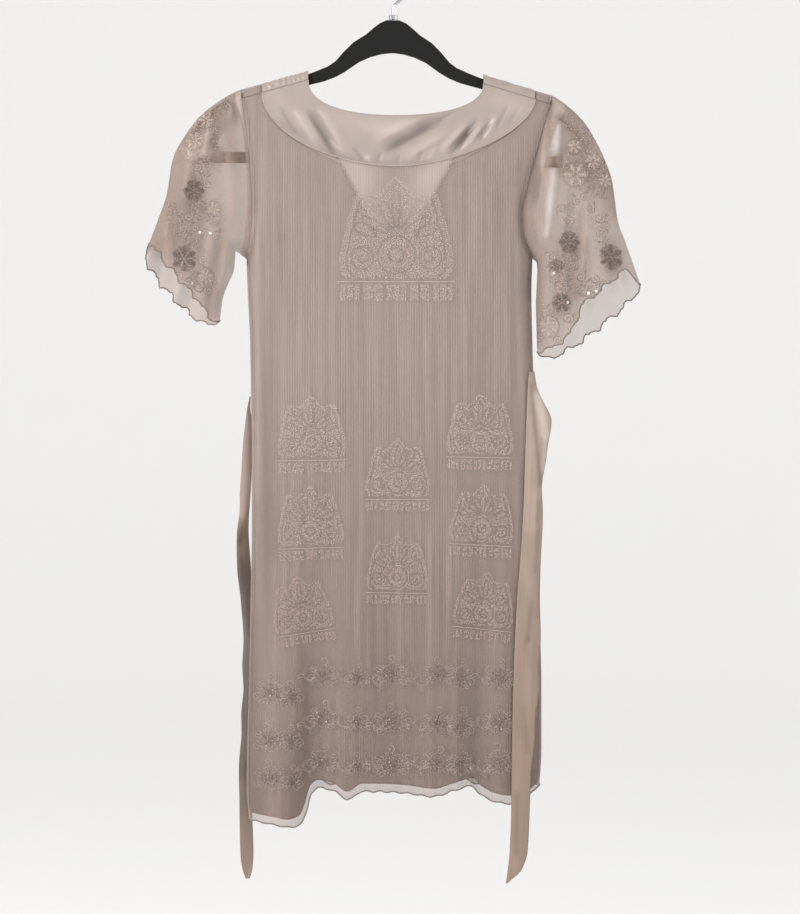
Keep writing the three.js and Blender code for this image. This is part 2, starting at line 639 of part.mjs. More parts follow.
function sleeve(edge) {
  const sheet = new ClothSheet();
  const table = sleeveRings[edge];
  const shape = sleeveShape[edge];
  const layers = [
    { panel: 'front', out: -1, path: armholePath(edge, 'front'), bulge: shape.frontShare, phase: 0 },
    { panel: 'back', out: 1, path: armholePath(edge, 'back'), bulge: 1, phase: 0.5 },
  ];
  const count = layers[0].path.length - 1;

  // A point of a ring away from the armhole: along the chord, out by the depth, with the flutes,
  // the curling hem and its bulge beyond the chord.
  const freePoint = (layer, at, across) => {
    const inner = new THREE.Vector3(readTable(table, 'at', 'innerX', at), 0, readTable(table, 'at', 'innerZ', at));
    const outer = new THREE.Vector3(readTable(table, 'at', 'outerX', at), 0, readTable(table, 'at', 'outerZ', at));
    const chord = outer.clone().sub(inner);
    const away = new THREE.Vector3(chord.z, 0, -chord.x).normalize().multiplyScalar(edge === 'left' ? -1 : 1);
    const rounding = roundSection(across, sleeveRoundness);
    const hemNear = smoothstep(at, sleeveHemWave.from, 1);
    const turn = 2 * Math.PI * (shape.waves * across + shape.shift + layer.phase);
    const flute = sleeveFlutes.height * at ** sleeveFlutes.firmness
      * Math.cos(2 * Math.PI * (sleeveFlutes.count * across + shape.shift + layer.phase / 2));
    const depth = (readTable(table, 'at', 'depth', at) + flute + hemNear * sleeveHemWave.height * Math.cos(turn)) * rounding;
    const bulge = lerp(shape.bulgeInner, shape.bulgeOuter, across) * layer.bulge * at ** 2;
    const scallop = hemNear * sleeveHemWave.scallop * Math.sin(turn);
    const point = inner.lerp(outer, across).addScaledVector(away, (bulge + scallop) * rounding);
    point.y = layer.out * depth;
    return point;
  };

  const ringPoint = (layer, at, j) => {
    const across = (1 - Math.cos((Math.PI * j) / count)) / 2;
    return layer.path[j].clone().lerp(freePoint(layer, at, across), smoothstep(at, 0, sleeveRelease));
  };

  const rings = steps(grid.sleeveRings, (t) => {
    const at = t ** 1.1;
    const under = ringPoint(layers[0], at, 0);
    const over = ringPoint(layers[0], at, count);
    under.y = 0;
    over.y = 0;
    const front = steps(count, (_, j) => ringPoint(layers[0], at, j)).slice(1, -1);
    const back = steps(count, (_, j) => ringPoint(layers[1], at, j)).slice(1, -1).reverse();
    return [under, ...front, over, ...back].map((point) => sheet.addPoint(point));
  });
  sheet.addGrid(rings, { closed: true, flip: edge === 'left' });
  return sheet.geometry();
}

// ---------------------------------------------------------------- sash ties

// A tie from its root at the side seam to its pointed end. edgesAt gives both edges at a height.
function sashTie(table, edgesAt, bendAt, flip) {
  const sheet = new ClothSheet();
  const top = table[0].z;
  const bottom = table.at(-1).z;
  const rows = steps(grid.sashAlong, (t) => {
    const z = lerp(top, bottom, t);
    const [inner, outer] = edgesAt(z);
    const run = outer.clone().sub(inner);
    const face = new THREE.Vector3(run.y, -run.x, 0).normalize();
    return steps(grid.sashAcross, (w) => {
      const point = inner.clone().lerp(outer, w).addScaledVector(face, bendAt(w, z, run.length()));
      return sheet.addPoint(point);
    });
  });
  sheet.addGrid(rows, { flip });
  return sheet.geometry();
}

// The tie in front of the body: its inner edge lies on the cloth, its outer edge hangs free.
function rightTieEdges(z) {
  const innerX = readTable(rightSash, 'z', 'inX', z);
  const outerX = readTable(rightSash, 'z', 'outX', z);
  const outerY = readTable(rightSash, 'z', 'outY', z);
  const height = Math.max(z, readTable(frontHem, 'x', 'z', innerX));
  const innerY = -bodyDepth('front', shareOf(innerX, height), innerX, height, 0) - sashLift;
  return [new THREE.Vector3(innerX, innerY, z), new THREE.Vector3(outerX, outerY, z)];
}

function leftTieEdges(z) {
  const inner = new THREE.Vector3(readTable(leftSash, 'z', 'inX', z), readTable(leftSash, 'z', 'inY', z), z);
  const outer = new THREE.Vector3(readTable(leftSash, 'z', 'outX', z), readTable(leftSash, 'z', 'outY', z), z);
  return [inner, outer];
}

// A soft cup across the tie, less where it is narrow.
function cupOf(across, width) {
  return sashCup * 4 * across * (1 - across) * clamp(width / 20, 0, 1);
}

// The front tie also has one fold, whose edge stands forward.
function rightTieBend(across, z, width) {
  const middle = (rightSashCrease.top + rightSashCrease.bottom) / 2;
  const reach = (rightSashCrease.top - rightSashCrease.bottom) / 2;
  const near = Math.max(0, 1 - Math.abs(z - middle) / reach);
  const ridge = Math.max(0, 1 - Math.abs(across - rightSashCrease.across) * 2.2);
  return cupOf(across, width) + rightSashCrease.depth * near * ridge;
}

// ---------------------------------------------------------------- hanger

function mirroredOutline(half) {
  const right = half.map(({ x, z }) => new THREE.Vector2(x, z));
  const left = half.filter(({ x }) => x > 0).map(({ x, z }) => new THREE.Vector2(-x, z)).reverse();
  return [...right, ...left];
}

function hangerBody() {
  const shape = new THREE.Shape(mirroredOutline(hangerTop).reverse());
  shape.holes.push(new THREE.Path(mirroredOutline(hangerWindow)));
  const geometry = new THREE.ExtrudeGeometry(shape, {
    depth: hangerThickness - 2 * hangerBevel,
    bevelEnabled: true,
    bevelThickness: hangerBevel,
    bevelSize: hangerBevel,
    bevelOffset: -hangerBevel,
    bevelSegments: 2,
  });
  geometry.translate(0, 0, hangerBevel - hangerThickness / 2);
  return geometry.rotateX(Math.PI / 2);
}

// The wire: round over the rail from its tip, then back under the middle and down the stem.
function hangerHook() {
  const radius = hook.innerRadius + hook.wire / 2;
  const arc = steps(16, (t) => {
    const angle = THREE.MathUtils.degToRad(lerp(hook.tipAngle, hook.backAngle, t));
    return new THREE.Vector3(radius * Math.cos(angle), 0, radius * Math.sin(angle) - hook.innerRadius);
  });
  const stem = steps(3, (t) => new THREE.Vector3(0, 0, lerp(hook.stemTop, hook.stemEnd, t)));
  const bendIn = new THREE.Vector3(4.5, 0, -42.5);
  const line = new THREE.CatmullRomCurve3([...arc, bendIn, ...stem], false, 'centripetal');
  const sides = 8;
  const section = new THREE.Shape(
    steps(sides, (t) => {
      const angle = 2 * Math.PI * t;
      return new THREE.Vector2(Math.cos(angle), Math.sin(angle)).multiplyScalar(hook.wire / 2);
    }).slice(0, sides),
  );
  return new THREE.ExtrudeGeometry(section, { steps: 34, bevelEnabled: false, extrudePath: line });
}

function hookCollar() {
  const top = collar.bottom + collar.height;
  const chamfer = 0.8;
  const profile = [
    [collar.inner, collar.bottom],
    [collar.outer, collar.bottom],
    [collar.outer, top - chamfer],
    [collar.outer - chamfer, top],
    [collar.inner, top],
    [collar.inner, collar.bottom],
  ].map(([r, z]) => new THREE.Vector2(r, z));
  return new THREE.LatheGeometry(profile, 18).rotateX(Math.PI / 2);
}

// ---------------------------------------------------------------- the whole

function piece(name, geometry, material) {
  const mesh = new THREE.Mesh(geometry, material);
  mesh.name = name;
  return mesh;
}

const hanger = new THREE.Group();
hanger.rotation.y = hangerTilt;
hanger.add(
  piece('hanger_body', hangerBody(), velvet()),
  piece('hanger_hook', hangerHook(), chrome()),
  piece('hook_collar', hookCollar(), chrome()),
);

const dress = new THREE.Group();
dress.add(
  piece('dress_front', chiffonPanel('front'), chiffon()),
  piece('dress_back', chiffonPanel('back'), chiffon()),
  piece('yoke_front', yokePiece('front'), satin()),
  piece('yoke_back', yokePiece('back'), satin()),
  piece('lining_front', liningPanel('front'), liningSilk()),
  piece('lining_back', liningPanel('back'), liningSilk()),
  piece('sleeve_left', sleeve('left'), chiffon()),
  piece('sleeve_right', sleeve('right'), chiffon()),
  piece('sash_right', sashTie(rightSash, rightTieEdges, rightTieBend, false), sashSatin()),
  piece('sash_left', sashTie(leftSash, leftTieEdges, (w, z, width) => cupOf(w, width), true), sashSatin()),
);

const dressOnHanger = new THREE.Group();
dressOnHanger.add(hanger, dress);

export default dressOnHanger;
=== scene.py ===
# Short-sleeved silk chiffon dress with a satin yoke, a V-necked lining and two sash ties,
# hanging on a velvet hanger. Sizes are in millimetres until a mesh is made.
import math

import bpy
import numpy as np
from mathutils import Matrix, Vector
from mathutils.bvhtree import BVHTree


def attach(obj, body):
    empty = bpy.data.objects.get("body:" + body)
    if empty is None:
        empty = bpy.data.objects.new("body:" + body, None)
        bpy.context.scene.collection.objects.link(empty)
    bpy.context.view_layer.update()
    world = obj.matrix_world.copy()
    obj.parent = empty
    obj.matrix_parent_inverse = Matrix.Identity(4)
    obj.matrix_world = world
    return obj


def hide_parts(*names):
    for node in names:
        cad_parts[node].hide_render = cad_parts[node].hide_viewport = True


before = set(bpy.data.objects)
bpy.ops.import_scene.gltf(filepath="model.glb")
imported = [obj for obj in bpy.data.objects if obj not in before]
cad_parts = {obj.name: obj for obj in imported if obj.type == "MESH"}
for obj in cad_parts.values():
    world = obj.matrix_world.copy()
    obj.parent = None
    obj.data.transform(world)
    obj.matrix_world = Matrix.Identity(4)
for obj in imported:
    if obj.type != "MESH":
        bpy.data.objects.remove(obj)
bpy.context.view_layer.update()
bpy.ops.object.select_all(action="DESELECT")
print("frame loaded")

mm = 0.001
randomNumbers = np.random.default_rng(41)


# Small tools


def lerp(a, b, t):
    return a + (b - a) * t


def smoothstep(value, low, high):
    t = np.clip((value - low) / (high - low), 0, 1)
    return t * t * (3 - 2 * t)


# smooth value of a column between the rows of a table, never beyond them
def readTable(table, key, column, at):
    keys = np.array(table[key], float)
    values = np.array(table[column], float)
    if keys[0] > keys[-1]:
        keys, values = keys[::-1], values[::-1]
    secants = np.diff(values) / np.diff(keys)
    before, after = secants[:-1], secants[1:]
    both = before * after > 0
    middle = np.where(both, 2 * before * after / np.where(both, before + after, 1), 0)
    slopes = np.concatenate([secants[:1], middle, secants[-1:]])
    at = np.clip(at, keys[0], keys[-1])
    i = np.clip(np.searchsorted(keys, at) - 1, 0, len(keys) - 2)
    span = keys[i + 1] - keys[i]
    t = (at - keys[i]) / span
    ends = (1 + 2 * t) * (1 - t) ** 2 * values[i] + t * t * (3 - 2 * t) * values[i + 1]
    return ends + (t * (1 - t) ** 2 * slopes[i] + t * t * (t - 1) * slopes[i + 1]) * span


def roundSection(share, roundness):
    return np.maximum(0, 1 - np.abs(2 * share - 1) ** roundness) ** (1 / roundness)


# The body's form, as the solids have it

body = {
    "hangerTilt": math.radians(0.83),
    "armSlope": 0.29,
    "armStartX": 96,
    "armStartZ": -122.8,
    "stackHeight": 4.4,
    "ridgeRadius": 12,
    "seamDrop": 10.5,
    "underarmZ": -314,
    "underarmRound": 24,
    "armholeDepth": 7.5,
    "roundness": 3,
    "seam": 0.3,
    "foldSideFade": 0.06,
    "z": [-138, -150, -172, -195, -215, -240, -268, -285, -300, -314,
          -345, -400, -450, -520, -600, -680, -760, -830, -872, -905],
    "left": [-162, -159.5, -156, -153.5, -151.5, -150, -149, -150.5, -152.5, -155.5,
             -154.5, -152, -151, -150, -150, -151.5, -153, -155, -155.5, -152.5],
    "right": [171, 166.5, 158, 152, 146, 140, 134.5, 135.8, 140.4, 146,
              145, 146, 147.5, 149, 151, 153, 155.5, 155.5, 153, 150],
    "front": [8.5, 9.5, 11.5, 14, 17, 19, 21, 22, 22.5, 23,
              24, 25, 25.5, 26, 27, 28.5, 30, 32, 33, 34],
    "back": [8.5, 9.5, 11.5, 13.5, 15, 17, 18, 18.5, 19, 19.5,
             20, 21, 22, 23, 24, 26, 28, 30, 31, 32],
}

# crests (depth above 0) and troughs of the skirt: x, reach, depth, start and where each is full
skirtFolds = {
    "front": [
        (-125, 27, 8, -560, -860), (-88, 22, -7, -600, -850), (-51, 22, 3.5, -640, -860),
        (-6, 26, -3, -520, -800), (38, 24, 2.5, -560, -840), (80, 18, -4, -620, -860),
        (112, 21, 4.5, -560, -860), (-100, 30, 1.8, -330, -430), (96, 26, -1.8, -330, -450),
    ],
    "back": [
        (-112, 28, 6, -540, -840), (-66, 25, -5, -600, -850), (-20, 26, 4, -500, -820),
        (28, 24, -4, -560, -830), (74, 25, 5, -600, -860), (118, 24, -4, -520, -800),
    ],
}

# the smaller creases of the crinkled cloth, which lie on the folds: x, reach, depth, top, foot,
# and how far each leans from its top to its foot
clothCreases = {
    "front": [
        (-144, 6, 1.3, -330, -800, -2), (-134, 8, -1.6, -340, -860, 3), (-118, 9, 0.9, -420, -700, 5),
        (-92, 7, -0.7, -520, -780, -4), (-62, 8, 0.8, -560, -840, 3), (-36, 6, 1.1, -600, -760, -2),
        (-22, 6, -0.9, -590, -800, 2), (6, 6, 1.1, -570, -810, 2), (24, 6, -0.8, -610, -790, -2),
        (38, 5, 1.2, -585, -770, 1), (49, 5, -0.9, -600, -750, 2), (60, 5, 1.0, -560, -740, -3),
        (92, 8, 0.8, -480, -700, 3), (118, 8, -1.0, -420, -640, 4), (134, 7, 1.1, -330, -560, 3),
        (-138, 7, 1.0, -250, -400, 14), (-122, 8, -0.9, -230, -390, 10), (112, 8, -1.1, -210, -360, 6),
        (124, 7, 1.1, -230, -350, 8), (90, 9, 0.8, -225, -340, -5),
    ],
    "back": [
        (-140, 7, 1.2, -340, -780, 3), (-126, 8, -1.3, -380, -840, -2), (-92, 8, 0.9, -460, -700, 4),
        (-58, 7, -0.8, -520, -790, -3), (-31, 7, 1.0, -430, -660, 2), (4, 8, -0.9, -500, -820, 3),
        (33, 7, 1.1, -560, -800, -4), (61, 6, -0.8, -470, -700, 2), (96, 8, 0.9, -400, -650, -3),
        (122, 7, -1.2, -360, -760, 4), (136, 6, 1.2, -330, -600, 2), (-70, 10, 0.8, -225, -380, 8),
        (66, 10, 0.9, -235, -400, -7), (12, 11, -0.7, -240, -420, 3),
    ],
}

crinkle = {"pitch": 4.6, "height": 0.22, "wander": 1.1, "waver": 58}

frontHem = {
    "x": [-152, -124, -111, -99, -92, -86, -77, -62, -47.5, -33, 10, 42, 60, 81, 90, 104, 122, 140, 152],
    "z": [-904, -907, -909.5, -906, -893, -874, -868.5, -871.5, -880, -872,
          -873.5, -877, -872, -867, -875, -882, -885, -879, -868],
}
backHem = {"z": -867, "wave": 4, "waves": 6}
lettuceEdge = {"height": 1.1, "rise": 0.7, "length": 13, "reach": 9, "sideFade": 0.03}
rowBunching = {"top": 0.6, "armhole": 0.7}

yokeSeam = {"centre": 5, "halfWidth": 144, "bottom": -217.7, "squareLeft": 1.9, "squareRight": 1.68}
neckEdge = {"centre": 2, "halfWidth": 92.3, "bottom": -163.7, "squareLeft": 2.3, "squareRight": 2.3}
scoopBunching = 0.8
liningV = {"leftAt": -0.32, "rightAt": 0.295, "pointX": 0, "pointZ": -323}
liningGap = {"wall": 1, "shoulder": 0.7, "body": 3.5, "from": -160, "to": -330, "side": 1.6, "hemRise": 8}
clothWall = {"chiffon": 0.35, "lining": 0.35, "satin": 0.5, "sash": 0.6}
outwards = {"front": -1, "back": 1}


def ridgeZ(x):
    arm = body["armStartZ"] - body["armSlope"] * (np.abs(x) - body["armStartX"])
    return arm - math.tan(body["hangerTilt"]) * x + body["stackHeight"]


def shoulderPoint(edge):
    z = body["underarmZ"] / 2
    for _ in range(12):
        z = ridgeZ(readTable(body, "z", edge, z)) - body["seamDrop"]
    return float(z)


shoulderZ = {edge: shoulderPoint(edge) for edge in ("left", "right")}


def edgeX(edge, z):
    return readTable(body, "z", edge, np.minimum(z, shoulderZ[edge]))


# a rounded ridge, from 1 at its middle to 0 at its reach
def roundRidge(offset, reach):
    return np.cos(np.minimum(np.abs(offset) / reach, 1) * math.pi / 2) ** 2


def foldDepth(panel, x, z):
    depth = np.zeros(np.shape(x))
    for middle, reach, height, start, full in skirtFolds[panel]:
        depth = depth + height * (1 - smoothstep(z, full, start)) * roundRidge(x - middle, reach)
    return depth


def creaseDepth(panel, x, z):
    depth = np.zeros(np.shape(x))
    for middle, reach, height, top, foot, lean in clothCreases[panel]:
        along = (z - top) / (foot - top)
        window = smoothstep(along, 0, 0.3) * (1 - smoothstep(along, 0.6, 1))
        depth = depth + height * window * roundRidge(x - middle - lean * along, reach)
    return depth


# creases given by both ends (x, z); each has a gentle side and a steep side
def lineCreases(creases, x, z):
    depth = np.zeros(np.shape(x))
    gentle, steep = 1.35, 0.55
    for x0, z0, x1, z1, reach, height in creases:
        runX, runZ = x1 - x0, z1 - z0
        length = math.hypot(runX, runZ)
        along = np.clip(((x - x0) * runX + (z - z0) * runZ) / length ** 2, 0, 1)
        offX, offZ = x - x0 - along * runX, z - z0 - along * runZ
        side = (offX * runZ - offZ * runX) / length
        away = np.hypot(offX, offZ) / (reach * np.where(side > 0, steep, gentle))
        fade = smoothstep(along, -0.02, 0.3) * (1 - smoothstep(along, 0.65, 1.02))
        depth = depth + height * fade * np.exp(-away ** 2)
    return depth


# how strongly a place lies under soft lines, each given by both ends (x, z), reach and strength
def softLines(lines, x, z):
    value = np.zeros(np.shape(x))
    for x0, z0, x1, z1, reach, strength in lines:
        runX, runZ = x1 - x0, z1 - z0
        along = np.clip(((x - x0) * runX + (z - z0) * runZ) / (runX ** 2 + runZ ** 2), 0, 1)
        away = np.hypot(x - x0 - along * runX, z - z0 - along * runZ) / reach
        value = value + strength * np.exp(-away ** 2)
    return value


# fine upright ridges, which wander and fade in and out
def crinkleDepth(x, z):
    sway = crinkle["wander"] * (np.sin(z / crinkle["waver"]) + 0.6 * np.sin(z / 23 + x / 31))
    turn = 2 * math.pi * (x + sway) / crinkle["pitch"]
    strength = 0.55 + 0.45 * np.sin(x / 9.7 + np.sin(z / 71) * 2.2) * np.sin(z / 39 + x / 17)
    return crinkle["height"] * strength * (np.sin(turn) + 0.5 * np.sin(1.618 * turn + z / 44))


def edgeDepth(z, inset):
    opened = np.sqrt(np.clip((z - body["underarmZ"]) / body["underarmRound"], 0, 1))
    return lerp(body["seam"] / 2, body["armholeDepth"] - inset, opened)


# distance of a panel from the middle plane; an inset gives the layer inside
def bodyDepth(panel, share, x, z, inset=0.0, relief=0.0):
    full = readTable(body, "z", panel, z) - inset
    edge = edgeDepth(z, inset)
    below = np.clip((ridgeZ(x) - inset - z) / (body["ridgeRadius"] - inset), 0, 1)
    overRidge = np.sqrt(1 - (1 - below) ** 2)
    sideFade = smoothstep(np.minimum(share, 1 - share), 0, body["foldSideFade"])
    flat = (edge + (full - edge) * roundSection(share, body["roundness"])) * overRidge
    extra = foldDepth(panel, x, z)
    if relief:
        extra = extra + relief * (creaseDepth(panel, x, z) + crinkleDepth(x, z)) * below
    return flat + extra * sideFade


def shareOf(x, z, inset=0.0):
    left = edgeX("left", z) + inset
    right = edgeX("right", z) - inset
    return np.clip((x - left) / (right - left), 0, 1)


def liningInset(z):
    spread = 1 - smoothstep(z, liningGap["to"], liningGap["from"])
    return liningGap["wall"] + lerp(liningGap["shoulder"], liningGap["body"], spread)


def hemZ(panel, x):
    if panel == "front":
        return readTable(frontHem, "x", "z", x)
    width = edgeX("right", backHem["z"]) - edgeX("left", backHem["z"])
    return backHem["z"] + backHem["wave"] * np.sin(2 * math.pi * backHem["waves"] * x / width)


# point of a scooped line, from -1 at the left shoulder seam to 1 at the right one
def scoopPoint(scoop, at):
    across = scoopBunching * np.sin(at * math.pi / 2) + (1 - scoopBunching) * at
    square = np.where(across < 0, scoop["squareLeft"], scoop["squareRight"])
    endX = scoop["centre"] + np.sign(across) * scoop["halfWidth"]
    endZ = ridgeZ(endX) - body["seamDrop"]
    drop = np.maximum(0, 1 - np.abs(across) ** square) ** (1 / square)
    return np.stack([scoop["centre"] + scoop["halfWidth"] * across, lerp(endZ, scoop["bottom"], drop)], -1)


def armholeLine(edge, count, insetAt=None):
    z = lerp(body["underarmZ"], shoulderZ[edge], np.linspace(0, 1, count + 1) ** 1.5)
    inwards = 0 if insetAt is None else insetAt(z) * (1 if edge == "left" else -1)
    return np.stack([edgeX(edge, z) + inwards, z], -1)


def straightLine(start, end, count):
    return lerp(np.array(start), np.array(end), np.linspace(0, 1, count + 1)[:, None])


def joinLines(lines):
    starts, points = [], lines[0]
    for i, line in enumerate(lines):
        starts.append(0 if i == 0 else len(points) - 1)
        points = points if i == 0 else np.concatenate([points, line[1:]])
    return points, starts


# the upper edge of a panel: left armhole and shoulder, the lines between, right shoulder and armhole
def panelTop(counts, between, insetAt=None):
    left, right = (armholeLine(edge, counts["armhole"], insetAt) for edge in ("left", "right"))
    return joinLines([left, straightLine(left[-1], between[0][0], counts["shoulder"]), *between,
                      straightLine(between[-1][-1], right[-1], counts["shoulder"]), right[::-1]])


def hemShare(t):
    fromSide = np.minimum(t, 1 - t)
    sidePart, sideShare = 0.17, 0.12
    inner = lerp(sideShare, 0.5, (fromSide - sidePart) / (0.5 - sidePart))
    share = np.where(fromSide < sidePart, sideShare * (fromSide / sidePart) ** 2, inner)
    return np.where(t < 0.5, share, 1 - share)


# rows of a panel from its upper edge (x, z) to its hem
def panelRows(panel, top, rowCount, insetAt, hemRise, relief, sideGap=9.0):
    t = np.linspace(0, 1, rowCount + 1)[:, None]
    endShare = hemShare(np.linspace(0, 1, len(top)))
    hemInset = insetAt(np.array(float(backHem["z"])))
    hemX = lerp(edgeX("left", backHem["z"]) + hemInset, edgeX("right", backHem["z"]) - hemInset, endShare)
    end = hemZ(panel, hemX) + hemRise
    startShare = shareOf(top[:, 0], top[:, 1], insetAt(top[:, 1]))
    onArmhole = np.abs(startShare - 0.5) > 0.4999
    fall = (shoulderZ["left"] - top[:, 1]) / (shoulderZ["left"] - body["underarmZ"])
    haste = np.where(onArmhole, np.clip(fall, 0, 1) ** 2, 0)
    spaced = t - rowBunching["top"] * np.sin(2 * math.pi * t) / (2 * math.pi)
    z = lerp(top[:, 1], end, spaced)
    sideInset = np.minimum(insetAt(z), sideGap)
    moved = lerp(smoothstep(t, 0, rowBunching["armhole"]), 1 - (1 - t) ** 3, haste)
    share = lerp(startShare, endShare, moved)
    inset = insetAt(z)
    x = lerp(edgeX("left", z) + sideInset, edgeX("right", z) - sideInset, share)
    depth = bodyDepth(panel, share, x, z, inset, relief)
    if relief:
        near = smoothstep(z, end, end + lettuceEdge["reach"])
        turn = 2 * math.pi * x / lettuceEdge["length"] + 1.3 * np.sin(x / 29)
        sideFade = smoothstep(np.minimum(share, 1 - share), 0, lettuceEdge["sideFade"])
        depth = depth + lettuceEdge["height"] * (1 - near) * sideFade * np.sin(turn)
        z = z + lettuceEdge["rise"] * (1 - near) * np.cos(turn * 0.83)
    return np.stack([x, outwards[panel] * depth, z], -1)


shoulderRows = 26


# the stretch of a back piece over the shoulder ridge, from the front seam to the given points
def overShoulder(ends, insetAt, relief=0.0, gathers=None):
    t = np.linspace(0, 1, shoulderRows + 1)[:, None]
    x, endZ = ends[:, 0][None], ends[:, 2][None]
    inset = insetAt(endZ)
    onFront = t < 0.5
    drop = np.abs(1 - 2 * t) ** 1.8
    path = np.where(onFront, (body["seamDrop"] - body["seam"]) * drop, body["seamDrop"] * drop)
    height = np.minimum(ridgeZ(x) - path, ridgeZ(x) - inset)
    share = shareOf(x, endZ, inset)
    frontDepth = bodyDepth("front", share, x + 0 * height, height, inset, relief)
    backDepth = bodyDepth("back", share, x + 0 * height, height, inset, relief)
    y = np.where(onFront, -frontDepth, backDepth)
    paintedShadeAndTone = 0 * y
    if gathers:
        turn = 2 * math.pi * (x + gathers["lean"] * y) / gathers["pitch"] + 2.1 * np.sin(x / 8.3)
        raised = smoothstep(t, 0.02, 0.15)
        wave = (0.65 + 0.35 * np.sin(x / 4.7 + 1)) * np.sin(turn) * raised
        height = height + gathers["height"] * wave * (1 - drop)
        # painted shade in the troughs of the gathers, and painted light on their crests
        paintedShadeAndTone = -gathers["shade"] * wave
        leaning = 0.8 * gathers["height"] * np.cos(turn) * np.sign(y)
        y = y + leaning * raised * smoothstep(1 - t, 0, 0.2)
    rows = np.stack([x + 0 * y, y, height], -1)
    rows[-1] = ends
    return rows, paintedShadeAndTone


def shoulderParts(rows, starts, counts, insetAt, relief=0.0):
    ends = (rows[0, start:start + counts["shoulder"] + 1] for start in (starts[1], starts[-2]))
    return [dict(rows=overShoulder(end, insetAt, relief)[0], flip=True) for end in ends]


# Meshes from rows of points

weldReach = 0.000002  # metres
threadRadius = {"hem": 0.75, "sleeveHem": 0.7, "armholeSeam": 0.22, "yokePiping": 0.6, "neckRoll": 0.55,
                "liningHem": 0.4}
overlockBead, overlockPitch = 0.22, 1.7


def newPiece(name, points, faces):
    mesh = bpy.data.meshes.new(name)
    mesh.from_pydata(points, [], faces)
    piece = bpy.data.objects.new(name, mesh)
    bpy.context.collection.objects.link(piece)
    return piece


# a piece's material, its body, and the node it is drawn for
def finished(piece, material, node=None):
    piece.data.materials.append(material)
    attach(piece, "root")
    if node:
        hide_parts(node)
    return piece


# points that lie on each other made one
def weld(piece, evenNormals=False):
    bpy.context.view_layer.objects.active = piece
    piece.select_set(True)
    bpy.ops.object.mode_set(mode="EDIT")
    bpy.ops.mesh.select_all(action="SELECT")
    bpy.ops.mesh.remove_doubles(threshold=weldReach)
    if evenNormals:
        bpy.ops.mesh.normals_make_consistent(inside=False)
    bpy.ops.object.mode_set(mode="OBJECT")


# parts are grids of points in millimetres; each row runs to the right as seen from outside.
# A part may say where shade is painted on the cloth (painted light where below 0, and on the sleeves some
# darker patches of their own), and where more layers lie together or a lit facet is painted lighter.
def clothObject(name, parts, thickness, material, node=None):
    points, faces, weave, start = [], [], [], 0
    for part in parts:
        rows = part["rows"]
        index = start + np.arange(rows.shape[0] * rows.shape[1]).reshape(rows.shape[:2])
        following = np.roll(index, -1, axis=1)
        last = index.shape[1] if part.get("closed") else index.shape[1] - 1
        quads = np.stack([index[:-1], index[1:], following[1:], following[:-1]], -1)[:, :last]
        quads = quads.reshape(-1, 4)
        faces.append(quads[:, ::-1] if part.get("flip") else quads)
        points.append(rows.reshape(-1, 3) * mm)
        weave.append(part.get("weave", rows[..., [0, 2]]).reshape(-1, 2) * mm)
        start += rows.shape[0] * rows.shape[1]
    piece = newPiece(name, np.concatenate(points).tolist(), np.concatenate(faces).tolist())
    mesh = piece.data
    corner = np.empty(len(mesh.loops), int)
    mesh.loops.foreach_get("vertex_index", corner)
    layer = mesh.uv_layers.new(name="weave")
    layer.data.foreach_set("uv", np.concatenate(weave)[corner].ravel())
    for shade in ("paintedShadeAndTone", "layers"):
        values = [np.broadcast_to(part.get(shade, 0.0), part["rows"].shape[:2]).ravel() for part in parts]
        mesh.attributes.new(shade, "FLOAT", "POINT").data.foreach_set("value", np.concatenate(values))
    bpy.ops.object.select_all(action="DESELECT")
    bpy.context.view_layer.objects.active = piece
    piece.select_set(True)
    if len(parts) > 1:
        weld(piece)
    if thickness:
        wall = piece.modifiers.new("wall", "SOLIDIFY")
        wall.thickness = thickness * mm
        wall.offset = -1
        bpy.ops.object.modifier_apply(modifier="wall")
    bpy.ops.object.shade_smooth()
    piece.select_set(False)
    return finished(piece, material, node)


# a thread or rolled edge along a line of points, beaded like overlock stitches
def rollAlong(line, radius, closed=False, sides=8, bead=0.0):
    steps = np.linalg.norm(np.diff(line, axis=0), axis=1)
    reach = np.concatenate([[0], np.cumsum(steps)])
    count = max(8, int(reach[-1] / (overlockPitch / 4 if bead else 1.5)))
    at = np.linspace(0, reach[-1], count + 1)
    line = np.stack([np.interp(at, reach, line[:, k]) for k in range(3)], -1)
    if closed:
        line, at = line[:-1], at[:-1]
        along = np.roll(line, -1, axis=0) - np.roll(line, 1, axis=0)
    else:
        along = np.gradient(line, axis=0)
    along /= np.linalg.norm(along, axis=1)[:, None]
    side = np.cross(along, [0, 1, 0])
    side /= np.maximum(np.linalg.norm(side, axis=1), 1e-6)[:, None]
    front = np.cross(side, along)
    angle = np.linspace(0, 2 * math.pi, sides, endpoint=False)
    thick = radius * (1 + bead * np.sin(2 * math.pi * at / overlockPitch))
    ring = side[:, None] * np.cos(angle)[None, :, None] + front[:, None] * np.sin(angle)[None, :, None]
    rows = line[:, None] + ring * thick[:, None, None]
    if closed:
        rows = np.concatenate([rows, rows[:1]])
        at = np.append(at, at[-1] + overlockPitch)
    else:
        rows = np.concatenate([line[:1, None] + 0 * rows[:1], rows, line[-1:, None] + 0 * rows[-1:]])
        at = np.concatenate([at[:1], at, at[-1:]])
    weave = np.stack(np.broadcast_arrays(at[:, None], angle[None] * radius), -1)
    return dict(rows=rows, closed=True, weave=weave)


def rolledPiece(name, lines, radius, material, slot, node=None, **roll):
    piece = clothObject(name, [rollAlong(line, radius, **roll) for line in lines], 0, material, node)
    weld(piece, evenNormals=True)
    piece.select_set(False)
    return piece


# Materials


def srgb(r, g, b):
    def toLinear(c):
        c /= 255
        return c / 12.92 if c <= 0.04045 else ((c + 0.055) / 1.055) ** 2.4
    return (toLinear(r), toLinear(g), toLinear(b), 1)


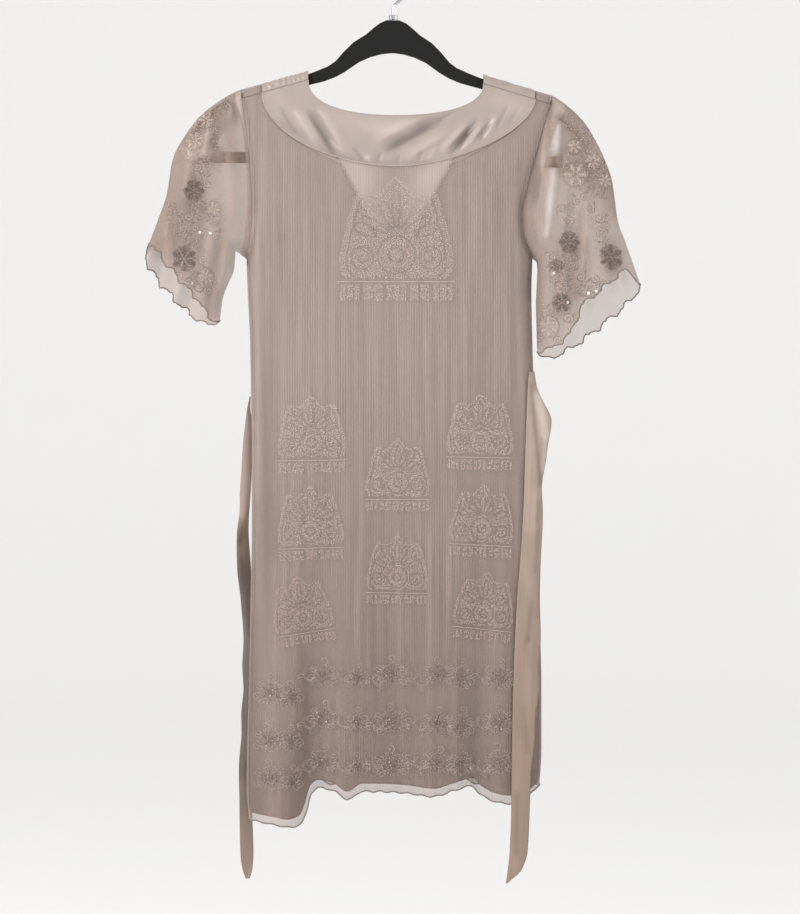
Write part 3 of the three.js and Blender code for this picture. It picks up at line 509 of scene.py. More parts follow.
# a node with its properties set, and its sockets linked or given a value
def addNode(tree, kind, sockets=(), **properties):
    node = tree.nodes.new("ShaderNode" + kind)
    for name, value in properties.items():
        setattr(node, name, value)
    for socket, value in dict(sockets).items():
        if isinstance(value, bpy.types.NodeSocket):
            tree.links.new(value, node.inputs[socket])
        else:
            node.inputs[socket].default_value = value
    return node


# a node group, with what goes into it (name, value or None for a colour) and what comes out
def newGroup(name, takes, gives):
    group = bpy.data.node_groups.new(name, "ShaderNodeTree")
    for socket, value in takes:
        kind = "Color" if value is None else "Float"
        made = group.interface.new_socket(socket, in_out="INPUT", socket_type="NodeSocket" + kind)
        if value is not None:
            made.default_value = value
    for socket, kind in gives:
        group.interface.new_socket(socket, in_out="OUTPUT", socket_type="NodeSocket" + kind)
    return group, group.nodes.new("NodeGroupInput").outputs, group.nodes.new("NodeGroupOutput").inputs


streakSockets = {"Lines": 125, "Waver": 0.08, "Streaks": 160, "Grain": 1600, "Grain height": 0.1}
lineShare = 0.34  # of the tone; the streaks make up the rest


# fine wavering lines along the weave, with softer streaks and a little grain
def streakGroup():
    gives = (("Height", "Float"), ("Tone", "Float"))
    group, given, result = newGroup("woven streaks", streakSockets.items(), gives)
    weave = addNode(group, "UVMap", uv_map="weave").outputs["UV"]
    squeeze = addNode(group, "CombineXYZ", {"X": 1, "Y": given["Waver"]}).outputs["Vector"]
    place = addNode(group, "VectorMath", {0: weave, 1: squeeze}, operation="MULTIPLY").outputs["Vector"]
    lines = addNode(group, "TexWave", {"Vector": place, "Scale": given["Lines"], "Distortion": 1.6,
                                       "Detail": 1, "Detail Scale": 0.5}, wave_profile="SIN")
    streaks = addNode(group, "TexNoise", {"Vector": place, "Scale": given["Streaks"], "Detail": 2})
    grain = addNode(group, "TexNoise", {"Vector": weave, "Scale": given["Grain"], "Detail": 1})
    tone = addNode(group, "Mix", {0: lineShare, 2: streaks.outputs["Fac"], 3: lines.outputs["Fac"]},
                   data_type="FLOAT").outputs[0]
    height = addNode(group, "Math", {0: grain.outputs["Fac"], 1: given["Grain height"], 2: tone},
                     operation="MULTIPLY_ADD").outputs["Value"]
    group.links.new(height, result["Height"])
    group.links.new(tone, result["Tone"])
    return group


# painted shade: the colour is darkened where the painted-shade attribute says, and lit with painted light
# where it is below 0; gathered places let less through and take the dense colour, which on the ties is their
# lit colour
def foldGroup():
    takes = (("Colour", None), ("Dense and lit colour", None), ("Shade", 0.4), ("Cover", 1), ("Full cover", 0.75))
    group, given, result = newGroup("fold shade", takes, (("Colour", "Color"), ("Alpha", "Float")))
    paintedShadeAndTone = addNode(group, "Attribute", attribute_name="paintedShadeAndTone").outputs["Fac"]
    layers = addNode(group, "Attribute", attribute_name="layers").outputs["Fac"]
    darker = addNode(group, "Math", {0: paintedShadeAndTone, 1: given["Shade"]}, operation="MULTIPLY").outputs["Value"]
    kept = addNode(group, "Math", {0: 1, 1: darker}, operation="SUBTRACT").outputs["Value"]
    colour = addNode(group, "Mix", {0: layers, 6: given["Colour"], 7: given["Dense and lit colour"]},
                     data_type="RGBA").outputs[2]
    shaded = addNode(group, "VectorMath", {0: colour, "Scale": kept}, operation="SCALE").outputs["Vector"]
    cover = addNode(group, "Mix", {0: layers, 2: given["Cover"], 3: given["Full cover"]},
                    data_type="FLOAT", clamp_factor=False).outputs[0]
    group.links.new(shaded, result["Colour"])
    group.links.new(cover, result["Alpha"])
    return group


wovenStreaks = streakGroup()
foldShade = foldGroup()


# a colour that deepens from one height to another
def deepened(tree, colour, fall):
    place = addNode(tree, "TexCoord").outputs["Object"]
    height = addNode(tree, "SeparateXYZ", {"Vector": place}).outputs["Z"]
    reached = addNode(tree, "MapRange", {"Value": height, "From Min": fall["from"] * mm,
                                         "From Max": fall["to"] * mm}).outputs["Result"]
    return addNode(tree, "Mix", {0: reached, 6: colour, 7: srgb(*fall["colour"])}, data_type="RGBA",
                   blend_type="MULTIPLY").outputs[2]


def newMaterial(name, values):
    material = bpy.data.materials.new(name)
    material.use_nodes = True
    shader = material.node_tree.nodes["Principled BSDF"].inputs
    for socket, value in values.items():
        shader[socket].default_value = value
    return material, material.node_tree, shader


# colours from the hollows of a pattern to its crests, darker in the hollows as painted shade of the relief
# along with the material's own uneven tone; the wider the spread the softer
def toneRamp(tree, pattern, low, high, spread, fall):
    ramp = addNode(tree, "ValToRGB", {"Fac": pattern})
    for stop, place, colour in zip(ramp.color_ramp.elements, (0.5 - spread, 0.5 + spread), (low, high)):
        stop.position = place
        stop.color = srgb(*colour)
    colour = ramp.outputs["Color"]
    return deepened(tree, colour, fall) if fall else colour


def addRelief(tree, shader, height, bump, depth):
    relief = addNode(tree, "Bump", {"Height": height, "Strength": bump, "Distance": depth * mm})
    tree.links.new(relief.outputs["Normal"], shader["Normal"])


# cloth with streaks: colours from its hollows to its crests, partly its own streaky tone and partly painted
# shade in the hollows, and how much it lets through
def clothMaterial(name, low, high, roughness, streaks, bump, depth=0.1, sheen=0.1, shade=0.4, cover=None,
                  fall=None, denseAndLit=None):
    values = {"Roughness": roughness, "Sheen Weight": sheen, "Sheen Roughness": 0.4}
    material, tree, shader = newMaterial(name, values)
    pattern = addNode(tree, "Group", node_tree=wovenStreaks)
    for socket, value in zip(streakSockets, streaks):
        pattern.inputs[socket].default_value = value
    colour = toneRamp(tree, pattern.outputs["Tone"], low, high, 0.2, fall)
    folds = addNode(tree, "Group", node_tree=foldShade)
    folds.inputs["Shade"].default_value = shade
    tree.links.new(colour, folds.inputs["Colour"])
    if denseAndLit:
        folds.inputs["Dense and lit colour"].default_value = srgb(*denseAndLit)
    else:
        tree.links.new(colour, folds.inputs["Dense and lit colour"])
    tree.links.new(folds.outputs["Colour"], shader["Base Color"])
    addRelief(tree, shader, pattern.outputs["Height"], bump, depth)
    if cover:
        reach = {"From Min": 0.35, "From Max": 0.65, "To Min": cover[0], "To Max": cover[1]}
        thin = addNode(tree, "MapRange", {"Value": pattern.outputs["Tone"], **reach})
        tree.links.new(thin.outputs["Result"], folds.inputs["Cover"])
        tree.links.new(folds.outputs["Alpha"], shader["Alpha"])
    return material


def plainMaterial(name, low, high, roughness, scale, metallic=0.0, bump=0.2, depth=0.2, sheen=0.0, fall=None):
    values = {"Roughness": roughness, "Metallic": metallic, "Sheen Weight": sheen}
    material, tree, shader = newMaterial(name, values)
    place = addNode(tree, "TexCoord").outputs["Object"]
    grain = addNode(tree, "TexNoise", {"Vector": place, "Scale": scale, "Detail": 3}).outputs["Fac"]
    tree.links.new(toneRamp(tree, grain, low, high, 0.15, fall), shader["Base Color"])
    addRelief(tree, shader, grain, bump, depth)
    return material


skirtFall = {"from": -420, "to": -900, "colour": (216, 210, 208)}
sashFall = {"from": -560, "to": -800, "colour": (228, 223, 218)}
threadFall = {"from": -470, "to": -720, "colour": (226, 219, 217)}
# the dense colour of the chiffon shows where layers lie together, and in the V of the lining it is painted
# light
chiffon = clothMaterial("crinkled chiffon", (130, 113, 105), (169, 152, 143), 0.8, (118, 0.04, 150, 2400, 0),
                        sheen=0.15, bump=0.24, depth=0.35, cover=(0.26, 0.31), fall=skirtFall,
                        denseAndLit=(168, 153, 146))
sheerChiffon = clothMaterial("sheer sleeve chiffon", (146, 122, 108), (156, 132, 118), 0.8,
                             (118, 0.05, 90, 2400, 0), sheen=0.15, bump=0.15, depth=0.2,
                             cover=(0.26, 0.29), denseAndLit=(160, 142, 134))
liningSilk = clothMaterial("lining silk", (169, 154, 147), (176, 161, 154), 0.55, (300, 0.3, 200, 2600, 0),
                           bump=0.05, fall=skirtFall)
satin = clothMaterial("yoke satin", (152, 139, 133), (157, 144, 138), 0.34, (160, 0.3, 60, 3000, 0),
                      bump=0.03, shade=0.34)
# the ties' dense colour is the painted highlight of their lit facets
sashSatin = clothMaterial("sash satin", (149, 130, 117), (152, 133, 119), 0.4, (90, 0.2, 46, 3000, 0),
                          bump=0.04, fall=sashFall, denseAndLit=(176, 160, 151))
velvet = plainMaterial("black velvet", (3, 3, 3), (8, 7, 7), 0.95, scale=2400, bump=0.5, depth=0.4,
                       sheen=0.05)
chrome = plainMaterial("polished wire", (188, 190, 194), (205, 207, 210), 0.16, metallic=1, scale=300,
                       bump=0.03, depth=0.05)
overlock = plainMaterial("overlock thread", (102, 89, 81), (132, 117, 108), 0.7, scale=1200, sheen=0.2)
seamThread = plainMaterial("seam thread", (112, 96, 88), (128, 112, 103), 0.7, scale=1500)
pipingSatin = plainMaterial("piping satin", (154, 138, 129), (178, 162, 153), 0.45, scale=900, sheen=0.1)


def threadMaterial(name, low, high, fall=None):
    return plainMaterial(name, low, high, 0.6, scale=700, sheen=0.1, fall=fall)


paleThread = threadMaterial("pale thread", (164, 145, 135), (210, 192, 180), threadFall)
greyThread = threadMaterial("grey beige thread", (92, 78, 71), (150, 132, 122))
skirtThread = threadMaterial("skirt thread", (126, 110, 105), (176, 161, 154))
mauveThread = threadMaterial("mauve thread", (70, 57, 53), (120, 102, 94))
mauveSequin = plainMaterial("mauve sequin", (104, 88, 86), (150, 132, 128), 0.25, metallic=0.4,
                            scale=500, bump=0.1)
pearlSequin = plainMaterial("pearl sequin", (225, 220, 214), (246, 243, 240), 0.2, metallic=0.1,
                            scale=400, bump=0.05)
print("materials made")


# Front and back of the dress

dressPanels = {
    "front": dict(armhole=26, shoulder=6, scoop=206, rows=128),
    "back": dict(armhole=16, shoulder=5, scoop=130, rows=110),
}

# painted shade (above 0) and painted light (below 0) on the panels: the shadow under the arm and the shade
# and highlights of the folds, as soft lines: both ends (x, z), reach, strength
bodyPaintedShade = {
    "front": [
        (-128, -290, -124, -620, 15, 0.34), (-148, -270, -147, -560, 6, -0.5),
        (144, -262, 142, -350, 8, 1.0), (130, -216, 126, -330, 4, 0.35), (119, -200, 112, -360, 5, -0.2),
        (-150, -300, -149, -330, 5, 0.4), (133, -340, 136, -430, 6, 0.3), (-86, -640, -84, -860, 12, 0.25),
        (88, -600, 84, -860, 9, 0.2), (-40, -330, -44, -470, 14, 0.1), (30, -380, 28, -500, 12, -0.1),
        (60, -700, 58, -870, 14, -0.1), (-93, -730, -95, -885, 8, 0.4),
        (-106, -700, -105, -860, 2.6, -0.35), (-144, -700, -143, -890, 7, 0.3),
        (-122, -720, -121, -880, 7, -0.15), (82, -770, 83, -875, 6, 0.3), (114, -790, 116, -880, 6, 0.3),
    ],
    "back": [
        (-146, -290, -144, -560, 6, -0.3), (144, -262, 142, -350, 8, 0.6),
        (-20, -330, -16, -560, 14, 0.15),
    ],
}


def noInset(z):
    return np.zeros(np.shape(z))


# how far inside the V of the lining a place lies
def insideV(x, z):
    tops = scoopPoint(yokeSeam, np.array([liningV["leftAt"], liningV["rightAt"]]))
    runs = np.array([liningV["pointX"], liningV["pointZ"]]) - tops
    left, right = (((x - top[0]) * run[1] - (z - top[1]) * run[0]) / np.hypot(*run)
                   for top, run in zip(tops, runs))
    return np.minimum(-left, right)


# painted shade that darkens a panel (painted light where below 0) and how many layers lie there: the
# folds and creases by their depth, the side seams, the seam of the yoke, the hem, and the V of the lining,
# lit with painted light
panelShade = {
    "foldPart": 11, "creasePart": 3,
    "side": {"reach": 2.4, "paintedShadeAndTone": 0.5, "layers": 0.9},
    "seam": {"drop": 1.2, "reach": 1.7, "paintedShadeAndTone": 0.7, "halfWidth": 130},
    "hem": {"reach": 9, "paintedShadeAndTone": -0.3, "layers": 0.12},
    "v": {"from": -2.5, "to": 4, "paintedShadeAndTone": 0.22, "layers": 0.72, "low": -300, "high": -205, "atTop": 0.72,
          "atCorners": 0.7},
}
# painted light in the corners of the V and along a stripe inside it, and painted shade down its middle, as
# soft lines
vLightAndShade = [(-42, -216, -34, -236, 12, 0.6), (46, -214, 36, -238, 12, 0.7), (30, -226, 12, -262, 5, 0.25),
            (1, -226, 1, -290, 17, -0.75)]


def dressPanel(panel):
    counts = dressPanels[panel]
    scoop = scoopPoint(yokeSeam, np.linspace(-1, 1, counts["scoop"] + 1))
    top, starts = panelTop(counts, [scoop])
    back = panel == "back"
    rows = panelRows(panel, top, counts["rows"], noInset, 0, 1.0)
    x, z = rows[..., 0], rows[..., 2]
    side, seam, hem, v = (panelShade[part] for part in ("side", "seam", "hem", "v"))
    # painted shade from the table above, darker in the troughs of the folds and creases and lighter on their
    # crests
    paintedShadeAndTone = softLines(bodyPaintedShade[panel], x, z) - foldDepth(panel, x, z) / panelShade["foldPart"]
    paintedShadeAndTone = paintedShadeAndTone - creaseDepth(panel, x, z) / panelShade["creasePart"]
    fromSide = np.minimum(x - edgeX("left", z), edgeX("right", z) - x)
    atSide = np.exp(-(fromSide / side["reach"]) ** 2)
    inV = smoothstep(insideV(x, z), v["from"], v["to"])
    high = smoothstep(z, v["low"], v["high"])
    vShading = v["paintedShadeAndTone"] - v["atTop"] * high - v["atCorners"] * softLines(vLightAndShade, x, z)
    paintedShadeAndTone = paintedShadeAndTone + side["paintedShadeAndTone"] * atSide + inV * vShading
    belowSeam = np.where(np.abs(x) < seam["halfWidth"], z[:1] - z, 99)
    paintedShadeAndTone = paintedShadeAndTone + seam["paintedShadeAndTone"] * np.exp(-((belowSeam - seam["drop"]) / seam["reach"]) ** 2)
    atHem = np.exp(-((z - z[-1]) / hem["reach"]) ** 2)
    paintedShadeAndTone = paintedShadeAndTone + hem["paintedShadeAndTone"] * atHem
    layers = side["layers"] * atSide + hem["layers"] * atHem + v["layers"] * inV
    parts = [dict(rows=rows, flip=back, paintedShadeAndTone=paintedShadeAndTone, layers=layers)]
    if back:
        parts += shoulderParts(rows, starts, counts, noInset, 1.0)
    piece = clothObject("chiffon_" + panel, parts, clothWall["chiffon"], chiffon, "dress_" + panel)
    return piece, rows


(chiffonFront, frontRows), (chiffonBack, backRows) = dressPanel("front"), dressPanel("back")
hemRollFront, hemRollBack = (
    rolledPiece("hem_roll_" + panel, [rows[-1]], threadRadius["hem"], overlock, "chiffon", bead=overlockBead)
    for panel, rows in (("front", frontRows), ("back", backRows)))
print("dress panels made")


# Yoke

# creases of the satin: both ends (x, z), reach and height
yokeCreases = {
    "front": [
        (-14, -204, 54, -166, 6.5, -3.0), (42, -172, 74, -152, 3.4, -1.6), (-24, -194, 40, -160, 6, 1.8),
        (10, -212, 62, -178, 5, 1.9), (56, -208, 91, -166, 3.4, -2.6), (48, -206, 82, -168, 3.6, 1.9),
        (66, -202, 82, -177, 2.6, -1.9), (70, -206, 98, -168, 3.4, 2.0), (88, -194, 104, -166, 2.8, -2.1),
        (96, -190, 112, -160, 3.4, 1.5), (106, -182, 123, -148, 2.4, -1.0),
        (120, -176, 134, -151, 2.2, -0.8), (-93, -154, -60, -208, 5, -2.6), (-82, -152, -48, -208, 5, 1.7),
        (-106, -154, -76, -202, 5, 1.6), (-122, -150, -98, -190, 4, -1.0), (-44, -196, -30, -214, 3, -1.1),
        (-18, -216, -12, -202, 2.6, -1.4), (-28, -216, -22, -204, 2.6, 1.1), (2, -217, 8, -204, 2.4, -1.0),
        (24, -215, 32, -200, 2.6, -1.3), (36, -214, 46, -196, 2.6, 1.2), (-40, -176, 30, -182, 8, 0.9),
    ],
    "back": [
        (24, -206, -46, -158, 9, 1.6), (2, -210, -40, -178, 7, -1.2), (-68, -196, -102, -152, 7, 1.2),
        (80, -198, 106, -150, 7, 1.3), (58, -206, 86, -164, 5, -1.0), (28, -213, 64, -198, 5, 0.8),
        (-92, -186, -116, -150, 5, -0.8), (44, -204, 62, -172, 6, 0.8), (-20, -216, -14, -203, 3, 0.7),
    ],
}
# painted shade (above 0) and painted light of the satin, as soft lines: both ends (x, z), reach, strength
yokePaintedShade = {
    "front": [
        (-118, -172, -66, -204, 6, 0.4), (-66, -205, -34, -213, 3.5, 0.5), (-78, -176, -66, -198, 6, 0.35),
        (-4, -198, 46, -170, 5, 0.35), (60, -204, 86, -172, 3, 0.3), (108, -146, 132, -156, 10, -0.35),
        (-60, -168, 10, -176, 12, -0.25), (-126, -140, -104, -172, 8, -0.2),
        (-30, -214, 50, -214, 2.2, 0.35),
    ],
    "back": [(-60, -170, 20, -176, 12, -0.2)],
}
yokeCounts = {"across": 220, "rows": 46}
yokeCreasePart = {"front": 2.6, "back": 7}
yokeGathers = {
    "left": {"pitch": 6.2, "height": 0.8, "lean": 0.9, "shade": 0.5},
    "right": {"pitch": 15, "height": 0.4, "lean": -1.6, "shade": 0.3},
}


def yokePanel(panel):
    at = np.linspace(-1, 1, yokeCounts["across"] + 1)
    outer, inner = scoopPoint(yokeSeam, at), scoopPoint(neckEdge, at)
    first = body["seam"] / np.linalg.norm(inner - outer, axis=1)
    w = np.linspace(1, 0, yokeCounts["rows"] + 1)[:, None]
    across = lerp(first, 1, w)
    x = lerp(outer[:, 0], inner[:, 0], across)
    z = lerp(outer[:, 1], inner[:, 1], across)
    share = shareOf(x, z)
    edgeFade = smoothstep(np.minimum(w, 1 - w), 0, 0.12)
    creased = lineCreases(yokeCreases[panel], x, z) * edgeFade
    depth = bodyDepth(panel, share, x, z) + creased
    back = panel == "back"
    rows = np.stack([x, outwards[panel] * depth, z], -1)
    # painted shade from the table above, darker in the troughs of the creases and lighter on their crests
    paintedShadeAndTone = softLines(yokePaintedShade[panel], x, z) - creased / yokeCreasePart[panel]
    parts = [dict(rows=rows, flip=back, paintedShadeAndTone=paintedShadeAndTone)]
    if back:
        for ends, gathers in ((rows[::-1, 0], yokeGathers["left"]), (rows[:, -1], yokeGathers["right"])):
            over, paintedShadeAndTone = overShoulder(ends, noInset, gathers=gathers)
            parts.append(dict(rows=over, flip=True, paintedShadeAndTone=paintedShadeAndTone))
    piece = clothObject("satin_yoke_" + panel, parts, clothWall["satin"], satin, "yoke_" + panel)
    return piece, rows


(yokeFront, yokeFrontRows), (yokeBack, yokeBackRows) = yokePanel("front"), yokePanel("back")


# the seam allowance of the yoke, turned down behind the chiffon, wider towards the middle, and lightened with
# painted light
yokeTurning = {"from": -0.56, "to": 0.54, "top": 0.5, "narrow": 0.4, "wide": 5.6, "inset": 0.9,
               "paintedShadeAndTone": -0.8}


def yokeAllowance(panel):
    at = np.linspace(yokeTurning["from"], yokeTurning["to"], 97)
    line = scoopPoint(yokeSeam, at)
    width = yokeTurning["narrow"] + yokeTurning["wide"] * smoothstep(0.55 - np.abs(at), 0, 0.34)
    drop = yokeTurning["top"] + width * np.linspace(0, 1, 8)[:, None]
    x, z = line[:, 0] + 0 * drop, line[:, 1] - drop
    depth = bodyDepth(panel, shareOf(x, z), x, z, yokeTurning["inset"])
    part = dict(rows=np.stack([x, outwards[panel] * depth, z], -1), flip=panel == "back",
                paintedShadeAndTone=yokeTurning["paintedShadeAndTone"])
    return clothObject("yoke_allowance_" + panel, [part], clothWall["lining"], liningSilk)


allowances = {panel: yokeAllowance(panel) for panel in ("front", "back")}
print("yoke made")


# Lining

liningCounts = {"armhole": 18, "shoulder": 4, "scoop": 30, "v": 26, "rows": 96}
# painted light on the front lining and painted shade on the back one, broad and faint
liningPaintedShade = {"front": [(0, -330, 0, -340, 60, -0.1)], "back": [(0, -330, 0, -340, 60, 0.1)]}


def liningPanel(panel):
    counts = liningCounts
    leftScoop = scoopPoint(yokeSeam, np.linspace(-1, liningV["leftAt"], counts["scoop"] + 1))
    rightScoop = scoopPoint(yokeSeam, np.linspace(liningV["rightAt"], 1, counts["scoop"] + 1))
    vPoint = [liningV["pointX"], liningV["pointZ"]]
    vLeft = straightLine(leftScoop[-1], vPoint, counts["v"])
    vRight = straightLine(vPoint, rightScoop[0], counts["v"])
    top, starts = panelTop(counts, [leftScoop, vLeft, vRight, rightScoop], liningInset)
    back = panel == "back"
    rows = panelRows(panel, top, counts["rows"], liningInset, liningGap["hemRise"], 0.0, liningGap["side"])
    x, z = rows[..., 0], rows[..., 2]
    parts = [dict(rows=rows, flip=back, paintedShadeAndTone=softLines(liningPaintedShade[panel], x, z))]
    if back:
        parts += shoulderParts(rows, starts, counts, liningInset)
    piece = clothObject("silk_lining_" + panel, parts, clothWall["lining"], liningSilk,
                        "lining_" + panel)
    return piece, rows


(liningFront, liningFrontRows), (liningBack, liningBackRows) = liningPanel("front"), liningPanel("back")
print("lining made")


# Sleeves

sleeveShapes = {
    "left": {
        "at": [0, 0.15, 0.3, 0.45, 0.6, 0.75, 0.88, 1],
        "innerX": [-155.9, -163.8, -167, -167.5, -169, -174.3, -180.5, -183.5],
        "innerZ": [-314, -307.7, -305.6, -314, -326.6, -339, -356, -379],
        "outerX": [-162.6, -178.5, -200.6, -219, -233, -238, -247, -257.5],
        "outerZ": [-136.3, -142.3, -159, -181.7, -209, -243, -270, -297],
        "depth": [7.5, 9, 11, 13, 14.5, 16.5, 18.5, 20],
        "farHem": 0.12, "bulgeInner": 20, "bulgeOuter": 22, "frontShare": 0.5, "waves": 4.5, "shift": 0.1,
        "facing": 7, "lift": 0.04, "liftFrom": (0.05, 0.9),
    },
    "right": {
        "at": [0, 0.1, 0.22, 0.32, 0.45, 0.56, 0.66, 0.75, 0.83, 0.9, 1],
        "innerX": [146.4, 149.5, 151.5, 151.2, 150.8, 150.5, 150, 149.5, 149.6, 150, 151],
        "innerZ": [-314, -316.5, -318, -325, -333, -340, -350, -360, -370, -380, -412],
        "outerX": [169, 178, 192, 201, 213, 223, 230, 233, 236, 243.6, 259.5],
        "outerZ": [-143, -147.5, -158.6, -170, -190, -211, -232, -253, -274, -295, -340],
        "depth": [7.5, 8.5, 10, 11.5, 13, 14, 15.5, 16.5, 17.5, 18.5, 20],
        "farHem": -0.04, "bulgeInner": 20, "bulgeOuter": 10, "frontShare": 0.3, "waves": 5, "shift": 0.35,
        "facing": 16, "lift": 0.05, "liftFrom": (0.25, 0.9),
    },
}
sleeveCounts = {"armhole": 72, "ridge": 8, "rings": 120}
sleeveForm = {"gap": 0.4, "release": 0.35, "roundness": 2.6, "fluteCount": 2.5, "fluteHeight": 4,
              "fluteFirmness": 2, "hemHeight": 2.6, "hemScallop": 2.4, "hemFrom": 0.8, "ringBunching": 1.1}
# how much painted shade a sleeve takes on its far side and from its creases, its extra layers, and the
# painted light near the far hem
sleeveShade = {"far": 0.15, "creasePart": 4, "creaseLayers": 8, "facing": 0.5, "facingEdge": 1.2,
               "farHemFrom": 0.7, "farHemFull": 0.88, "farHem": 0.3}

# pleats and soft creases of a sleeve: both ends (x, z), reach and height
sleeveCreases = {
    ("left", "front"): [
        (-177, -140, -165, -176, 3, 2.2), (-173, -146, -161, -212, 3, -2.0),
        (-169, -150, -157, -240, 3, 1.7), (-186, -152, -181, -246, 3.6, 2.4),
        (-190, -158, -189, -232, 4, -1.7), (-196, -166, -200, -214, 4, 1.5),
        (-182, -212, -172, -292, 4.5, 1.8), (-176, -226, -166, -300, 4, -1.5),
        (-213, -190, -222, -262, 5, 1.6), (-200, -236, -206, -330, 5, -1.7),
        (-176, -292, -184, -352, 4.5, 2.0), (-168, -286, -176, -340, 4, -1.4),
        (-228, -248, -236, -300, 5, -1.6), (-216, -268, -226, -338, 5, 1.9),
        (-192, -282, -200, -356, 4.5, 1.6), (-240, -272, -238, -318, 4.5, 1.5),
        (-210, -300, -212, -356, 4, -1.4),
    ],
    ("left", "back"): [
        (-176, -142, -164, -196, 3.5, 2.0), (-186, -152, -180, -236, 4, -1.7),
        (-196, -164, -198, -250, 4.5, 1.7), (-212, -186, -222, -280, 5, -1.6),
        (-184, -250, -184, -340, 5, 1.8), (-204, -262, -212, -362, 5, 1.8),
        (-228, -250, -238, -330, 5, 1.7), (-196, -300, -200, -372, 5, -1.5),
        (-220, -296, -226, -352, 4.5, -1.4),
    ],
    ("right", "front"): [
        (175, -152, 171, -270, 3, 3.0), (168, -156, 164, -262, 3.6, -2.2),
        (181, -150, 184, -196, 3.2, 1.9), (158, -176, 151, -266, 3.6, 1.6),
        (190, -160, 196, -212, 4, -1.6), (164, -246, 158, -356, 4.5, 1.9), (186, -226, 180, -318, 5, -1.8),
        (204, -236, 194, -346, 3.6, 2.8), (198, -250, 190, -330, 4, -1.9), (214, -222, 220, -296, 5, 1.6),
        (230, -276, 238, -336, 5, -1.6), (218, -290, 214, -348, 4.5, 1.7),
        (176, -300, 170, -388, 4.5, 1.8), (184, -320, 182, -384, 4, -1.5), (160, -330, 156, -404, 4, 1.6),
    ],
    ("right", "back"): [
        (176, -154, 170, -248, 4, 2.0), (186, -158, 190, -236, 4.5, -1.7), (204, -196, 206, -290, 5, 1.7),
        (166, -240, 160, -350, 5, 1.7), (190, -262, 186, -370, 5, -1.7), (222, -262, 232, -356, 5, 1.8),
        (206, -302, 206, -378, 4.5, 1.7), (174, -326, 168, -408, 5, 1.8), (238, -300, 246, -350, 4, -1.4),
    ],
}


# painted shade of a sleeve's folds, pleats and underarm, with darker patches round the dark flowers and
# painted light where below 0, and places where it lies double or gathered, as soft lines
sleeveShadingAndLayers = {
    "left": {
        "paintedShadeAndTone": [
            (-170, -151, -166, -172, 2.4, 0.9), (-178, -148, -175, -198, 2.4, 0.6),
            (-187, -168, -194, -198, 4, 0.55), (-209, -233, -212, -252, 8, 0.85),
            (-216, -300, -222, -325, 9.5, 0.85), (-214, -258, -216, -292, 8, 0.35),
            (-164, -300, -155, -312, 5, 0.8), (-184, -281, -197, -372, 3, 0.45),
            (-182, -349, -194, -380, 4, 0.4), (-190, -152, -216, -186, 9, 0.25),
            (-198, -262, -188, -276, 8, 0.25), (-204, -330, -198, -352, 9, 0.25),
            (-232, -292, -250, -300, 4, 0.3), (-174, -204, -170, -260, 4, -0.3),
            (-192, -212, -196, -300, 4, -0.25),
        ],
        "layers": [
            (-160, -142, -212, -198, 10, 0.9), (-214, -203, -188, -203, 8, 0.7),
            (-214, -198, -250, -296, 15, 0.5), (-182, -166, -184, -196, 3, -0.3),
            (-206, -240, -216, -300, 12, 0.35), (-184, -300, -196, -376, 7, 0.3),
        ],
    },
    "right": {
        "paintedShadeAndTone": [
            (178, -176, 176, -210, 2.2, 0.75), (176, -210, 163, -298, 2.6, 0.5),
            (203, -296, 197, -352, 4, 0.7), (184, -288, 184, -308, 8, 0.75),
            (226, -304, 230, -322, 9, 0.75), (176, -358, 175, -366, 8, 0.65),
            (172, -316, 171, -330, 6, 0.5), (186, -200, 220, -232, 12, 0.28),
            (162, -378, 163, -392, 9, 0.35), (205, -344, 208, -352, 8, 0.2),
            (152, -318, 152, -400, 3, 0.4), (158, -150, 150, -250, 6, 0.2),
            (214, -262, 210, -300, 5, -0.2), (166, -190, 161, -286, 3.4, -0.4),
        ],
        "layers": [
            (166, -146, 216, -194, 10, 0.9), (176, -209, 214, -207, 9, 0.75),
            (214, -194, 236, -262, 12, 0.4), (174, -164, 161, -288, 4, -0.45),
            (184, -214, 224, -236, 12, 0.35), (180, -300, 176, -368, 10, 0.3),
            (228, -306, 230, -320, 9, 0.3), (198, -300, 192, -350, 6, 0.35),
            (152, -211, 160, -211, 8, 0.35), (154, -300, 153, -402, 5, 0.4),
        ],
    },
}


def armholePath(edge, panel):
    arm = armholeLine(edge, sleeveCounts["armhole"])
    topX = arm[-1, 0]
    rise = np.linspace(0, 1, sleeveCounts["ridge"] + 1)[1:] ** 0.6
    ridge = np.stack([topX + 0 * rise, ridgeZ(topX) - body["seamDrop"] * (1 - rise)], -1)
    line = np.concatenate([arm, ridge])
    share = np.zeros(len(line)) if edge == "left" else np.ones(len(line))
    depth = bodyDepth(panel, share, line[:, 0], line[:, 1])
    gap = -sleeveForm["gap"] if edge == "left" else sleeveForm["gap"]
    return np.stack([line[:, 0] + gap, outwards[panel] * depth, line[:, 1]], -1)


